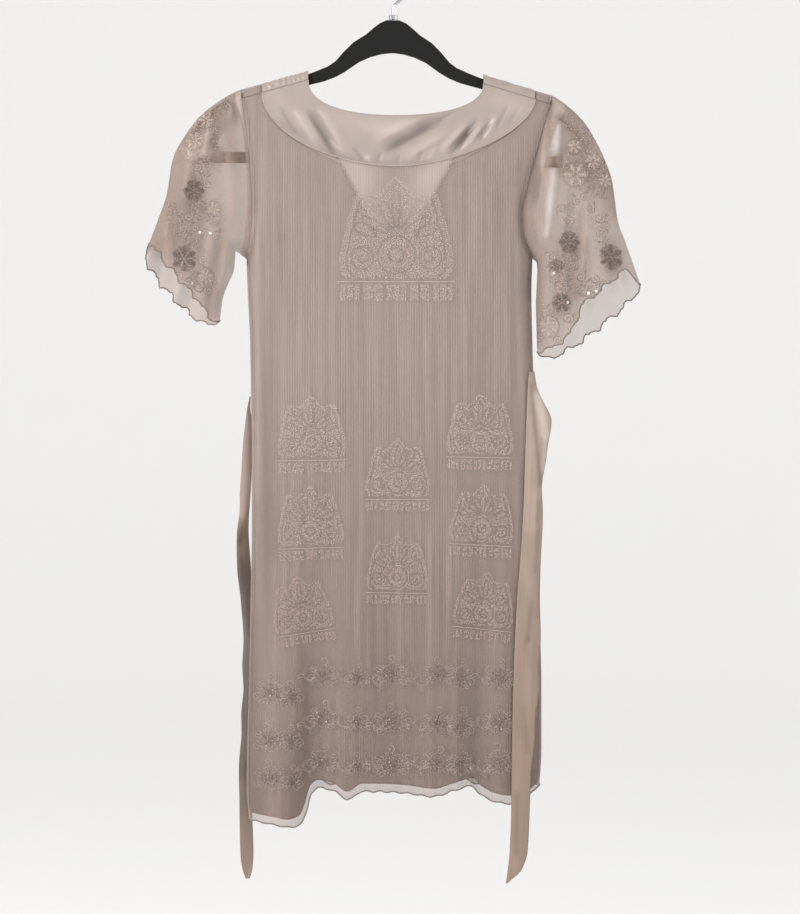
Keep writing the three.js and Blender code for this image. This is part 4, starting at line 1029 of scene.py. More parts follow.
def sleeveLayer(edge, panel, at):
    shape, form = sleeveShapes[edge], sleeveForm
    path = armholePath(edge, panel)
    count = len(path) - 1
    phase = 0 if panel == "front" else 0.5
    bulgeShare = shape["frontShare"] if panel == "front" else 1
    across = (1 - np.cos(math.pi * np.arange(count + 1) / count)) / 2
    at = at[:, None]
    if panel == "front":
        low, high = shape["liftFrom"]
        raised = smoothstep(across, low, low + 0.2) * (1 - smoothstep(across, high, 1))
        at = at - shape["lift"] * raised * smoothstep(at, 0.5, 1)
    inner = np.stack([readTable(shape, "at", "innerX", at), readTable(shape, "at", "innerZ", at)], -1)
    outer = np.stack([readTable(shape, "at", "outerX", at), readTable(shape, "at", "outerZ", at)], -1)
    chord = outer - inner
    away = np.stack([chord[..., 1], -chord[..., 0]], -1)
    away = away / np.linalg.norm(away, axis=-1)[..., None] * (-1 if edge == "left" else 1)
    rounding = roundSection(across, form["roundness"])
    hemNear = smoothstep(at, form["hemFrom"], 1)
    turn = 2 * math.pi * (shape["waves"] * across + shape["shift"] + phase)
    fluteTurn = 2 * math.pi * (form["fluteCount"] * across + shape["shift"] + phase / 2)
    flute = form["fluteHeight"] * at ** form["fluteFirmness"] * np.cos(fluteTurn)
    hemWave = hemNear * form["hemHeight"] * np.cos(turn)
    depth = (readTable(shape, "at", "depth", at) + flute + hemWave) * rounding
    bulge = lerp(shape["bulgeInner"], shape["bulgeOuter"], across) * bulgeShare * at ** 2
    ruffled = np.sin(turn - phase * math.pi) + 0.45 * np.sin(2.3 * turn + 1.1)
    ruffled = ruffled + 0.25 * np.sin(4.6 * turn + 2.3 * phase)
    scallop = hemNear * form["hemScallop"] * ruffled
    place = lerp(inner, outer, across[None, :, None]) + away * ((bulge + scallop) * rounding)[..., None]
    creased = lineCreases(sleeveCreases[(edge, panel)], place[..., 0], place[..., 1])
    depth = depth + creased * np.minimum(1, rounding * 1.4)
    free = np.stack([place[..., 0], outwards[panel] * depth, place[..., 1]], -1)
    rows = lerp(path[None], free, smoothstep(at, 0, form["release"])[..., None])
    x, z = rows[..., 0], rows[..., 2]
    fromSeam = np.linalg.norm(rows - rows[:1], axis=-1)
    shadingTable, shade = sleeveShadingAndLayers[edge], sleeveShade
    # painted shade from the table, fainter on the far side, and darker in the troughs of the creases
    paintedShadeAndTone = softLines(shadingTable["paintedShadeAndTone"], x, z) * (1 if panel == "front" else shade["far"])
    paintedShadeAndTone = paintedShadeAndTone - creased / shade["creasePart"]
    layers = softLines(shadingTable["layers"], x, z) + np.abs(creased) / shade["creaseLayers"]
    facing = 1 - smoothstep(fromSeam, shape["facing"] - shade["facingEdge"], shape["facing"])
    layers = layers + shade["facing"] * facing
    # near the far side's hem: more layers and painted light, standing in for light shining through the cloth
    if panel == "back":
        nearHem = smoothstep(at, shade["farHemFrom"], shade["farHemFull"])
        layers = layers + shape["farHem"] * nearHem
        paintedShadeAndTone = paintedShadeAndTone - shade["farHem"] * nearHem
    return rows, paintedShadeAndTone, layers


def sleevePiece(edge):
    at = np.linspace(0, 1, sleeveCounts["rings"] + 1) ** sleeveForm["ringBunching"]
    front, back = sleeveLayer(edge, "front", at), sleeveLayer(edge, "back", at)
    front[0][:, [0, -1], 1] = 0
    rows, paintedShadeAndTone, layers = (np.concatenate([a, b[:, -2:0:-1]], axis=1) for a, b in zip(front, back))
    girth = np.linalg.norm(np.diff(rows[-1], axis=0, append=rows[-1][:1]), axis=1)
    around = np.concatenate([[0], np.cumsum(girth)[:-1]])
    weave = np.stack(np.broadcast_arrays(around, at[:, None] * 190), -1)
    part = dict(rows=rows, closed=True, flip=edge == "left", weave=weave, paintedShadeAndTone=paintedShadeAndTone, layers=layers)
    piece = clothObject("chiffon_sleeve_" + edge, [part], clothWall["chiffon"], sheerChiffon,
                        "sleeve_" + edge)
    hem, armhole = (np.concatenate([ring, ring[:1]]) for ring in (rows[-1], rows[1]))
    roll = rolledPiece("sleeve_roll_" + edge, [hem], threadRadius["sleeveHem"], overlock, "sheer_chiffon",
                       closed=True, bead=overlockBead)
    seamLine = rolledPiece("armhole_seam_" + edge, [armhole], threadRadius["armholeSeam"], seamThread,
                           "sheer_chiffon", closed=True)
    return piece, [roll, seamLine]


sleeves, sleeveTrim = {}, {}
for edge in ("left", "right"):
    sleeves[edge], sleeveTrim[edge] = sleevePiece(edge)
print("sleeves made")


# Sash ties

rightSash = {
    "z": [-433, -447, -463, -485, -514, -558, -610, -673, -736, -778, -841, -883, -935, -954, -968],
    "inX": [142, 140.7, 140, 139.1, 138.1, 136.5, 133.9, 128.9,
            125.7, 124.3, 122.9, 122.6, 120.8, 118.7, 116.9],
    "outX": [148, 150, 156.5, 165.9, 161.5, 156.1, 155.4, 153.8,
             152.8, 150.7, 144.5, 142.3, 139.7, 133.4, 118.2],
    "outY": [-8.6, -8.8, -8, -7, -9, -12, -13, -15, -18, -22, -28, -30, -30, -31, -33],
    "lift": 1.5, "creaseTop": -480, "creaseBottom": -552, "creaseDepth": 3, "creaseAcross": 0.55,
}
leftSash = {
    "z": [-459, -472, -493, -515, -546, -578, -604, -640, -674, -736, -800, -841, -904, -945, -960, -969],
    "inX": [-151.4, -152.2, -153.8, -154, -154.4, -154.6, -154.6, -154.4,
            -155, -155, -156, -157, -154, -152.5, -153.5, -156],
    "inY": [4, 8, 14, 18, 20, 16, 17, 20, 23, 24, 24, 24, 22, 18, 14, 10],
    "outX": [-151.7, -154.6, -157.6, -159.8, -161.5, -163.6, -165.9, -164.6,
             -160.8, -158.8, -160.2, -162.8, -162.6, -161.7, -159.5, -156.6],
    "outY": [-1.5, -2.5, -3, -2, -1, 1, 3, 2, 1, -1, 0, 1, 2, 4, 6, 8.6],
}
sashCounts = {"across": 14, "along": 170}
sashForm = {"cup": 1.6, "cupWidth": 20, "rippleWidth": 16, "wave": 0.8, "waveFrom": (60, 130),
            "waveTo": (-840, -900), "pinch": 3.3, "pinchFrom": (-468, -490), "openAt": -600, "openReach": 36}

# small ripples of a tie: height, share across, reach along and across, depth
sashRipples = {
    "right": [
        (-500, 0.2, 42, 0.22, -1.4), (-590, 0.62, 60, 0.25, 0.9), (-668, 0.34, 46, 0.24, -0.8),
        (-742, 0.66, 55, 0.22, 0.8), (-830, 0.4, 60, 0.25, -0.9), (-905, 0.6, 40, 0.22, 0.7),
    ],
    "left": [
        (-520, 0.4, 34, 0.25, 1.2), (-600, 0.55, 40, 0.22, -1.4), (-690, 0.35, 50, 0.25, 0.9),
        (-790, 0.6, 60, 0.22, -0.9), (-880, 0.4, 50, 0.25, 0.8),
    ],
}


# painted shade (above 0) and painted light of the ties, as soft lines: both ends (x, z), reach, strength
sashPaintedShade = {
    "right": [
        (144, -448, 154, -552, 2.2, 0.85), (143.5, -480, 139, -600, 1.8, -0.4),
        (151, -602, 149, -644, 3, 0.4), (144, -676, 140, -714, 2.8, 0.6), (141, -712, 136, -722, 2.4, 0.4),
        (136, -786, 139, -830, 2.8, 0.4), (129, -876, 127, -936, 3, 0.4), (134, -560, 129, -680, 4, 0.15),
        (140, -748, 138, -800, 4, -0.35), (148, -560, 144, -600, 4, -0.4), (122, -930, 128, -958, 4, -0.3),
        (152, -570, 150, -590, 2.4, 0.5), (153, -650, 151, -690, 2.4, 0.35),
        (136, -630, 140, -660, 4, -0.3), (131, -820, 128, -868, 3.4, -0.3),
    ],
    "left": [
        (-156, -470, -162, -590, 10, -1.6), (-158, -640, -158, -664, 8, 0.5),
        (-158, -720, -157, -960, 10, -0.7), (-152, -478, -151, -546, 2, 1.4),
        (-153, -574, -163, -612, 3, 0.9), (-162, -630, -158, -690, 2.6, 0.5),
        (-159, -720, -157, -780, 2.4, 0.4), (-157, -850, -160, -900, 2.4, 0.35),
    ],
}
# painted highlights of the lit facets of the ties, as soft lines
sashLitFacets = {
    "right": [(152, -458, 159, -498, 5.5, 1.0), (159, -500, 156.5, -536, 3.4, 0.8)],
    "left": [(-156, -480, -161, -584, 4.5, 0.9)],
}


def sashPiece(edge):
    table = rightSash if edge == "right" else leftSash
    z = np.linspace(table["z"][0], table["z"][-1], sashCounts["along"] + 1)
    innerX, outerX = readTable(table, "z", "inX", z), readTable(table, "z", "outX", z)
    outerY = readTable(table, "z", "outY", z)
    waveTop, waveFull = (table["z"][0] - drop for drop in sashForm["waveFrom"])
    waved = smoothstep(z, waveTop, waveFull) * (1 - smoothstep(z, *sashForm["waveTo"]))
    outerX = outerX + sashForm["wave"] * waved * np.sin(z / 12.5 + 1.9 * np.sin(z / 41))
    if edge == "right":
        height = np.maximum(z, readTable(frontHem, "x", "z", innerX))
        innerY = -bodyDepth("front", shareOf(innerX, height), innerX, height) - table["lift"]
    else:
        innerY = readTable(table, "z", "inY", z)
        opened = 1 - 0.9 * np.exp(-((z - sashForm["openAt"]) / sashForm["openReach"]) ** 2)
        innerX = innerX + sashForm["pinch"] * smoothstep(z, *sashForm["pinchFrom"]) * opened
    w = np.linspace(0, 1, sashCounts["across"] + 1)
    runX, runY = (outerX - innerX)[:, None], (outerY - innerY)[:, None]
    width = np.hypot(runX, runY)
    bend = sashForm["cup"] * 4 * w * (1 - w) * np.clip(width / sashForm["cupWidth"], 0, 1)
    if edge == "right":
        middle = (table["creaseTop"] + table["creaseBottom"]) / 2
        reach = (table["creaseTop"] - table["creaseBottom"]) / 2
        near = np.maximum(0, 1 - np.abs(z - middle) / reach)[:, None]
        bend = bend + table["creaseDepth"] * near * np.maximum(0, 1 - np.abs(w - table["creaseAcross"]) * 2.2)
    firm = np.clip(width / sashForm["rippleWidth"], 0, 1)
    for height, share, along, reach, depth in sashRipples[edge]:
        near = smoothstep(np.maximum(0, 1 - np.abs(z - height) / along)[:, None], 0, 1)
        bend = bend + depth * near * roundRidge(w - share, reach) * firm
    x = innerX[:, None] + runX * w + runY / width * bend
    y = innerY[:, None] + runY * w - runX / width * bend
    rows = np.stack([x, y, np.broadcast_to(z[:, None], x.shape)], -1)
    weave = np.stack([w * width, np.broadcast_to(z[:, None], x.shape)], -1)
    # painted shade, and painted highlights on the lit facets, which also take the lit colour
    paintedShadeAndTone = softLines(sashPaintedShade[edge], rows[..., 0], rows[..., 2])
    layers = softLines(sashLitFacets[edge], rows[..., 0], rows[..., 2])
    part = dict(rows=rows, flip=edge == "left", weave=weave, paintedShadeAndTone=paintedShadeAndTone - 0.4 * layers, layers=layers)
    return clothObject("satin_sash_" + edge, [part], clothWall["sash"], sashSatin,
                       "sash_" + edge)


sashRight, sashLeft = sashPiece("right"), sashPiece("left")
print("sash ties made")


# Seams and piping

def seamPiece(name, lines, thread, material, slot):
    return rolledPiece(name, lines, threadRadius[thread], material, slot, sides=6)


yokeRows = {"front": yokeFrontRows, "back": yokeBackRows}
pipings = {panel: seamPiece("yoke_piping_" + panel, [rows[-1]], "yokePiping", pipingSatin, "satin")
           for panel, rows in yokeRows.items()}
neckRolls = {panel: seamPiece("neck_roll_" + panel, [rows[0]], "neckRoll", pipingSatin, "satin")
             for panel, rows in yokeRows.items()}
liningHem = seamPiece("lining_hem", [liningFrontRows[-1], liningBackRows[-1]], "liningHem", seamThread,
                      "lining")
print("seams made")


# Embroidery

# A stitch is a row: x, z, the way it runs, its length, width and height. Motifs are drawn round
# their own middle and then placed.

stitchSizes = {"length": 1.9, "seedWidth": 0.95, "seedHeight": 0.5, "petalHeight": 0.45, "petalWidth": 1.2}


def alongLine(points, pitch, width=0.8, height=0.4, slant=0.3):
    steps = np.hypot(*np.diff(points, axis=0).T)
    reach = np.concatenate([[0], np.cumsum(steps)])
    at = np.arange(pitch / 2, reach[-1], pitch)
    x, z = np.interp(at, reach, points[:, 0]), np.interp(at, reach, points[:, 1])
    run = np.minimum(np.searchsorted(reach, at), len(steps)) - 1
    run = np.maximum(run, 0)
    way = np.arctan2(points[run + 1, 1] - points[run, 1], points[run + 1, 0] - points[run, 0]) + slant
    rest = np.broadcast_to([stitchSizes["length"], width, height], (len(at), 3))
    return np.column_stack([x, z, way, rest])


def ringLine(x, z, radius, points=28):
    angle = np.linspace(0, 2 * math.pi, points + 1)
    return np.column_stack([x + radius * np.cos(angle), z + radius * np.sin(angle)])


def scrollLine(x, z, radius, start, turns, hand):
    t = np.linspace(0, 1, 34)
    angle = math.radians(start) + hand * t * turns * 2 * math.pi
    away = radius * (1 - 0.86 * t)
    return np.column_stack([x + away * np.cos(angle), z + away * np.sin(angle)])


def smoothLine(points):
    points = np.array(points, float)
    padded = np.concatenate([2 * points[:1] - points[1:2], points, 2 * points[-1:] - points[-2:-1]])
    t = np.linspace(0, 1, 8, endpoint=False)[:, None]
    spans = []
    for a, b, c, d in zip(padded, padded[1:], padded[2:], padded[3:]):
        curve, twist = 2 * a - 5 * b + 4 * c - d, 3 * b - a - 3 * c + d
        spans.append(0.5 * (2 * b + (c - a) * t + curve * t ** 2 + twist * t ** 3))
    return np.concatenate([*spans, points[-1:]])


def petalLine(x, z, way, length, width):
    t = np.linspace(0, 2 * math.pi, 22)
    along = length * (1 - np.cos(t)) / 2
    across = width / 2 * np.sin(t) * (0.55 + 0.45 * along / length)
    way = math.radians(way)
    return np.column_stack([x + along * math.cos(way) - across * math.sin(way),
                            z + along * math.sin(way) + across * math.cos(way)])


# satin stitches side by side across a petal
def filledPetal(x, z, way, length, width, pitch=1.0):
    along = np.arange(pitch, length - pitch / 2, pitch)
    share = along / length
    span = width * np.sqrt(np.clip(4 * share * (1 - share), 0, 1)) * (0.55 + 0.45 * share)
    angle = math.radians(way)
    lean, height = angle + math.pi / 2 + 0.25, stitchSizes["petalHeight"]
    rest = np.broadcast_arrays(lean, np.maximum(span, stitchSizes["petalWidth"]), pitch, height)
    return np.column_stack([x + along * math.cos(angle), z + along * math.sin(angle), *rest])


def flower(x, z, radius, petals, filled=False):
    stitches = [alongLine(ringLine(x, z, radius * 0.22, 12), 1.2)]
    for i in range(petals):
        way = 360 * i / petals
        base = radius * 0.25
        px, pz = x + base * math.cos(math.radians(way)), z + base * math.sin(math.radians(way))
        width = 2.6 * radius / petals
        if filled:
            stitches.append(filledPetal(px, pz, way, radius * 0.75, width))
        stitches.append(alongLine(petalLine(px, pz, way, radius * 0.78, width), 1.5))
    return stitches


def placed(stitches, x, z, scale=1.0, turn=0.0):
    stitches = np.concatenate(stitches).copy()
    angle = math.radians(turn)
    px, pz = stitches[:, 0] * scale, stitches[:, 1] * scale
    stitches[:, 0] = x + px * math.cos(angle) - pz * math.sin(angle)
    stitches[:, 1] = z + px * math.sin(angle) + pz * math.cos(angle)
    stitches[:, 2] += angle
    return stitches


def insideOf(outline, x, z):
    inside = np.zeros(len(x), bool)
    for (x0, z0), (x1, z1) in zip(outline, np.roll(outline, -1, axis=0)):
        at = x0 + (z - z0) / (z1 - z0 + 1e-9) * (x1 - x0)
        inside ^= ((z0 > z) != (z1 > z)) & (x < at)
    return inside


scatter = 0.42  # how far seeds stray from their grid, as a share of its pitch


# small stitches laid every way inside an outline, but for channels left bare between them
def seeded(outline, pitch, channels=(), gap=1.2, length=stitchSizes["length"]):
    low, high = outline.min(axis=0), outline.max(axis=0)
    grid = np.meshgrid(*(np.arange(low[k], high[k], pitch) for k in (0, 1)))
    x, z = (at.ravel() + randomNumbers.uniform(-scatter, scatter, at.size) * pitch for at in grid)
    kept = insideOf(outline, x, z)
    for line in channels:
        for (x0, z0), (x1, z1) in zip(line[:-1], line[1:]):
            runX, runZ = x1 - x0, z1 - z0
            along = np.clip(((x - x0) * runX + (z - z0) * runZ) / (runX ** 2 + runZ ** 2 + 1e-9), 0, 1)
            kept &= np.hypot(x - x0 - along * runX, z - z0 - along * runZ) > gap
    x, z = x[kept], z[kept]
    way = randomNumbers.uniform(0, math.pi, len(x))
    size = [length, stitchSizes["seedWidth"], stitchSizes["seedHeight"]]
    return np.column_stack([x, z, way, np.broadcast_to(size, (len(x), 3))])


def ovalLine(x, z, across, high, turn=0.0):
    ring = ringLine(0, 0, 1, 20) * [across, high]
    angle = math.radians(turn)
    return np.column_stack([x + ring[:, 0] * math.cos(angle) - ring[:, 1] * math.sin(angle),
                            z + ring[:, 0] * math.sin(angle) + ring[:, 1] * math.cos(angle)])


# a seeded dome with a crown: a round flower between two discs, under a fan of leaves
palmette = {
    "outline": [(-31, 0), (-35, 4), (-36, 13), (-34, 24), (-31, 36), (-28, 47), (-25, 54), (-19, 55),
                (-13, 53), (-8, 57), (-4, 62), (0, 65)],
    "flower": 9.5, "fan": 7, "fanLength": 21,
}


def palmetteMotif(scale=1.0):
    step = 1.5 / scale
    side = smoothLine(palmette["outline"])
    outline = np.concatenate([side, side[::-1] * [-1, 1]])
    radius = palmette["flower"]
    channels = [ringLine(0, 15, radius + 2.4), ringLine(0, 15, radius * 0.5, 14),
                outline * [0.87, 0.91] + [0, 1.5]]
    stitches = [alongLine(ringLine(0, 15, radius * 0.8), step * 1.3, slant=0.9)]
    for hand in (-1, 1):
        channels += [ringLine(hand * 21.5, 13, 7), scrollLine(hand * 21.5, 13, 5, 90, 1.0, hand),
                     smoothLine([(hand * 13, 2), (hand * 12, -1), (hand * 5, 2.5)]),
                     petalLine(hand * 13, 27, 90 - hand * 62, 15, 8),
                     petalLine(hand * 9, 40, 90 - hand * 40, 15, 7)]
    for i in range(palmette["fan"]):
        way = 90 + (i - (palmette["fan"] - 1) / 2) * 20
        base = math.radians(way)
        length = palmette["fanLength"] * (1.12 if i % 2 else 0.9)
        channels.append(petalLine(6 * math.cos(base), 26 + 6 * math.sin(base), way, length, 6.4))
    stitches.append(seeded(outline, 1.6 / scale, channels, 0.75 / scale ** 0.5, length=1.7))
    return stitches


# a row of small blocks, by turns a lattice and a pair of bars, all seeded
def blockRow(width, size, count):
    stitches = []
    for i in range(count):
        x = -width / 2 + width * (i + 0.5) / count
        half = width / count * 0.41
        corners = np.array([(x - half, -size), (x + half, -size), (x + half, 0), (x - half, 0)])
        middle = -size / 2
        if i % 2:
            channels = [np.array([(x - half, middle), (x + half, middle)]), np.array([(x, -size), (x, 0)])]
        else:
            channels = [np.array([(x - half * 0.4, -size), (x - half * 0.4, 0)]),
                        np.array([(x + half * 0.4, -size), (x + half * 0.4, 0)])]
        stitches.append(seeded(corners, 1.6, channels, 0.7))
    return stitches


def motifWithRow():
    rule = alongLine(np.array([(-36, -3.4), (36, -3.4)]), 1.3, slant=0.3)
    return palmetteMotif() + [rule, placed(blockRow(72, 10.5, 5), 0, -5.8)]


# a cluster of the skirt: a flower in a seeded bed, with leaves, a loop above it and side scrolls
def clusterMotif(across, high):
    bed = seeded(ovalLine(0, 0, across, high), 2.1, [ringLine(0, 0, 8.6), ringLine(0, 0, 3.6, 12)], 0.9)
    stitches = [bed, alongLine(scrollLine(0, high + 4, 4.6, -90, 1.2, 1), 1.3),
                alongLine(scrollLine(-across, -high * 0.4, 4.6, 20, 1.3, 1), 1.3),
                alongLine(scrollLine(across, -high * 0.3, 4.6, 160, 1.3, -1), 1.3)]
    for i, way in enumerate((18, 42, 138, 162, 205, 232, 308, 335)):
        angle = math.radians(way)
        stitches.append(alongLine(petalLine(across * 0.62 * math.cos(angle), high * 0.66 * math.sin(angle),
                                            way + 14 * (-1) ** i, across * 0.55, 4), 1.3, width=0.65))
    return stitches


# a leafy stem between two clusters
def stemMotif(length):
    t = np.linspace(0, 1, 24)
    stem = np.column_stack([length * (t - 0.5), 3.2 * np.sin(t * 2.2 * math.pi)])
    stitches = [alongLine(stem, 1.35), alongLine(stem * [1, 0.7] + [0, -2.2], 1.5)]
    for i, at in enumerate(np.linspace(0.06, 0.94, max(4, int(length / 5)))):
        x, z = np.interp(at, t, stem[:, 0]), np.interp(at, t, stem[:, 1])
        way = (58 if i % 2 else -62) + 10 * math.sin(i * 2.1)
        stitches.append(alongLine(petalLine(x, z, way, 7, 3), 1.3, width=0.65))
    return stitches


# sizes here are in metres: how far a stitch stands off and reaches in, and a sequin's form
stitchForm = {"castFrom": -0.3, "lift": 0.00006, "root": 0.00012, "facing": -0.2}
sequinForm = {"corners": 8, "lean": 0.16, "lift": 0.0007, "face": 0.00022, "back": 0.00036}


# the place on a surface that is met from the front at x and z, and which way it faces
def castOn(tree, x, z):
    place, normal, _, _ = tree.ray_cast(Vector((x, stitchForm["castFrom"], z)), Vector((0, 1, 0)))
    return place, normal


def surfaceOf(target):
    return BVHTree.FromObject(target, bpy.context.evaluated_depsgraph_get())


def layStitches(name, stitches, target, material):
    tree = surfaceOf(target)
    stitches = np.concatenate(stitches)
    found, kept = [], []
    for i, (x, z) in enumerate(stitches[:, :2] * mm):
        place, normal = castOn(tree, x, z)
        if place is not None and place.y < 0 and normal.y < stitchForm["facing"]:
            found.append((*place, *normal))
            kept.append(i)
    found, stitches = np.array(found), stitches[kept]
    place, normal = found[:, :3], found[:, 3:]
    way = stitches[:, 2]
    along = np.column_stack([np.cos(way), 0 * way, np.sin(way)])
    along -= normal * np.sum(along * normal, axis=1)[:, None]
    along /= np.linalg.norm(along, axis=1)[:, None]
    side = np.cross(normal, along)
    length, width, height = (stitches[:, k, None] * mm for k in (3, 4, 5))
    base = place + normal * stitchForm["lift"]
    corners = np.stack([base - along * length / 2, base + side * width / 2, base + along * length / 2,
                        base - side * width / 2, place + normal * height,
                        place - normal * stitchForm["root"]], axis=1)
    faces = np.array([(0, 3, 4), (3, 2, 4), (2, 1, 4), (1, 0, 4), (3, 0, 5), (2, 3, 5), (1, 2, 5), (0, 1, 5)])
    index = 6 * np.arange(len(stitches))[:, None, None] + faces[None]
    piece = newPiece(name, corners.reshape(-1, 3).tolist(), index.reshape(-1, 3).tolist())
    return finished(piece, material)


# sequins are small cupped discs, each a row: x, z, radius
def laySequins(name, sequins, target, material):
    tree, count = surfaceOf(target), sequinForm["corners"]
    angle = np.linspace(0, 2 * math.pi, count + 1)[:-1]
    corners, faces = [], []
    for x, z, radius in sequins:
        place, normal = castOn(tree, x * mm, z * mm)
        if place is None or place.y > 0:
            continue
        lean = Vector(normal) + Vector(randomNumbers.normal(0, sequinForm["lean"], 3))
        lean.normalize()
        along = lean.orthogonal().normalized()
        side = lean.cross(along)
        centre = place + normal * sequinForm["lift"]
        start = len(corners)
        for a in angle:
            corners.append(centre + (along * math.cos(a) + side * math.sin(a)) * radius * mm)
        corners += [centre - lean * sequinForm["face"], centre - lean * sequinForm["back"]]
        for k in range(count):
            following = start + (k + 1) % count
            faces += [(start + k, following, start + count), (following, start + k, start + count + 1)]
    return finished(newPiece(name, [tuple(c) for c in corners], faces), material)


# where the motifs of the body stand: x and z of the foot, size and turn
chestMotif = {"x": 2.5, "z": -336, "scale": 1.66, "rowWidth": 122, "rowSize": 17, "rowZ": -342}
bodyMotifs = [
    (-86, -523, 1.0, 1), (-87, -615, 0.96, 2), (-93, -704, 0.88, 9), (4, -564, 0.94, 0),
    (3, -662, 0.9, -1), (90, -520, 0.98, -1), (91, -612, 0.94, -3), (92, -700, 0.88, -6),
]

# clusters of the skirt in three bands: x, how far each is moved up, half its width and height
skirtClusters = [
    (-129, -17, 15, 13), (-107, -20, 9, 10), (-74, 3, 13, 11), (-38, -1, 10, 8), (-2, 1, 17, 12),
    (46, 1, 15, 10), (70, -2, 11, 13), (110, 0, 14, 13),
]
skirtBands = [-752, -800, -843]
skirtStems = [(-55, 22), (-20, 20), (24, 24), (90, 20), (-92, 20)]

chest = palmetteMotif(chestMotif["scale"])
chestRow = blockRow(chestMotif["rowWidth"], chestMotif["rowSize"], 5)
chestRule = [alongLine(np.array([(-62, 0), (62, 0)]), 1.2)]
chestStitches = [placed(chest, chestMotif["x"], chestMotif["z"], chestMotif["scale"]),
                 placed(chestRow, chestMotif["x"], chestMotif["rowZ"]),
                 placed(chestRule, chestMotif["x"], chestMotif["rowZ"] + 2.6)]
chestEmbroidery = layStitches("chest_embroidery", chestStitches, chiffonFront, paleThread)
bodyStitches = [placed(motifWithRow(), *place) for place in bodyMotifs]
bodyEmbroidery = layStitches("body_embroidery", bodyStitches, chiffonFront, paleThread)

clusterStitches, clusterFlowers, bodySequins = [], [], []
for band, height in enumerate(skirtBands):
    for i, (x, up, across, high) in enumerate(skirtClusters):
        z, turn = height + up - 2 * math.sin(band * 2.3 + i), 9 * math.sin(i * 1.7 + band)
        clusterStitches.append(placed(clusterMotif(across, high), x, z, 1, turn))
        petals = []
        for k in range(6):
            way = k * 1.047 + 0.5
            petals.append(filledPetal(4.2 * math.cos(way), 4.2 * math.sin(way), 60 * k + 29, 5, 2.8, 0.9))
        clusterFlowers.append(placed(petals + [seeded(ringLine(0, 0, 3.2, 12), 1.3)], x, z, 1, turn))
        for k in range(9):
            angle, away = k * 2.4 + i, 2.2 + 0.85 * k
            bodySequins.append((x + away * math.cos(angle), z + 0.8 * away * math.sin(angle), 1.0))
    for x, length in skirtStems:
        z = height - 3 + 3 * math.sin(band + x)
        clusterStitches.append(placed(stemMotif(length), x, z, 1, 4 * math.sin(x)))
skirtEmbroidery = layStitches("skirt_embroidery", clusterStitches, chiffonFront, skirtThread)
skirtFlowers = layStitches("skirt_flowers", clusterFlowers, chiffonFront, mauveThread)

# sleeves: seeded beds (x, z, half width and height, turn), dark flowers, pale flowers and
# scrolls with darker edges
sleeveMotifs = {
    "left": {
        "beds": [
            (-186, -156, 16, 9, 35), (-204, -176, 17, 11, 50), (-212, -200, 11, 15, 0),
            (-190, -184, 5, 17, 12), (-197, -217, 8, 12, 0), (-203, -262, 10, 16, 30),
            (-190, -268, 8, 14, 10), (-199, -336, 13, 13, 0), (-228, -276, 9, 24, 20),
            (-214, -290, 8, 14, 0),
        ],
        "dark": [(-210, -243, 11), (-220, -315, 13)],
        "pale": [(-198, -168, 8), (-210, -190, 9), (-190, -262, 7), (-198, -334, 8)],
        "scrolls": [
            (-216, -270, 5.5, 0), (-208, -282, 5, 90), (-197, -288, 5, 200), (-187, -291, 5, 30),
            (-226, -334, 5.5, 120), (-216, -340, 5.5, 300), (-205, -345, 5.5, 20), (-195, -348, 5, 160),
            (-200, -316, 5, 250), (-206, -218, 5, 200), (-206, -230, 4, 40), (-196, -236, 4.5, 150),
        ],
        "pearls": [(-212, -341), (-193, -288), (-204, -287)],
    },
    "right": {
        "beds": [
            (192, -172, 14, 10, -35), (205, -190, 16, 12, -50), (192, -216, 14, 16, 0),
            (213, -218, 13, 14, 0), (205, -240, 18, 9, -20), (184, -268, 7, 14, 0), (182, -318, 14, 12, 0),
            (168, -330, 8, 14, 10), (178, -340, 12, 12, 0), (164, -372, 12, 12, 0), (206, -346, 15, 9, 0),
            (218, -286, 10, 14, 0),
        ],
        "dark": [(184, -297, 11), (228, -313, 13), (176, -361, 10), (171, -322, 7)],
        "pale": [(191, -226, 12), (209, -212, 8), (190, -196, 7), (222, -232, 7), (162, -386, 10)],
        "scrolls": [
            (216, -272, 6, 0), (192, -254, 5, 90), (176, -262, 5, 200), (200, -250, 5, 40),
            (166, -312, 5, 120), (186, -322, 5, 300), (196, -334, 5, 20), (212, -336, 5, 160),
            (220, -342, 5, 250), (199, -350, 5.5, 80), (212, -354, 5.5, 200), (182, -378, 6, 10),
            (192, -382, 5, 150), (154, -398, 5, 60), (172, -400, 5, 230), (238, -332, 5, 310),
            (206, -262, 5, 20), (220, -248, 4.5, 140),
        ],
        "pearls": [(204, -351), (212, -349), (182, -361), (168, -330)],
    },
}


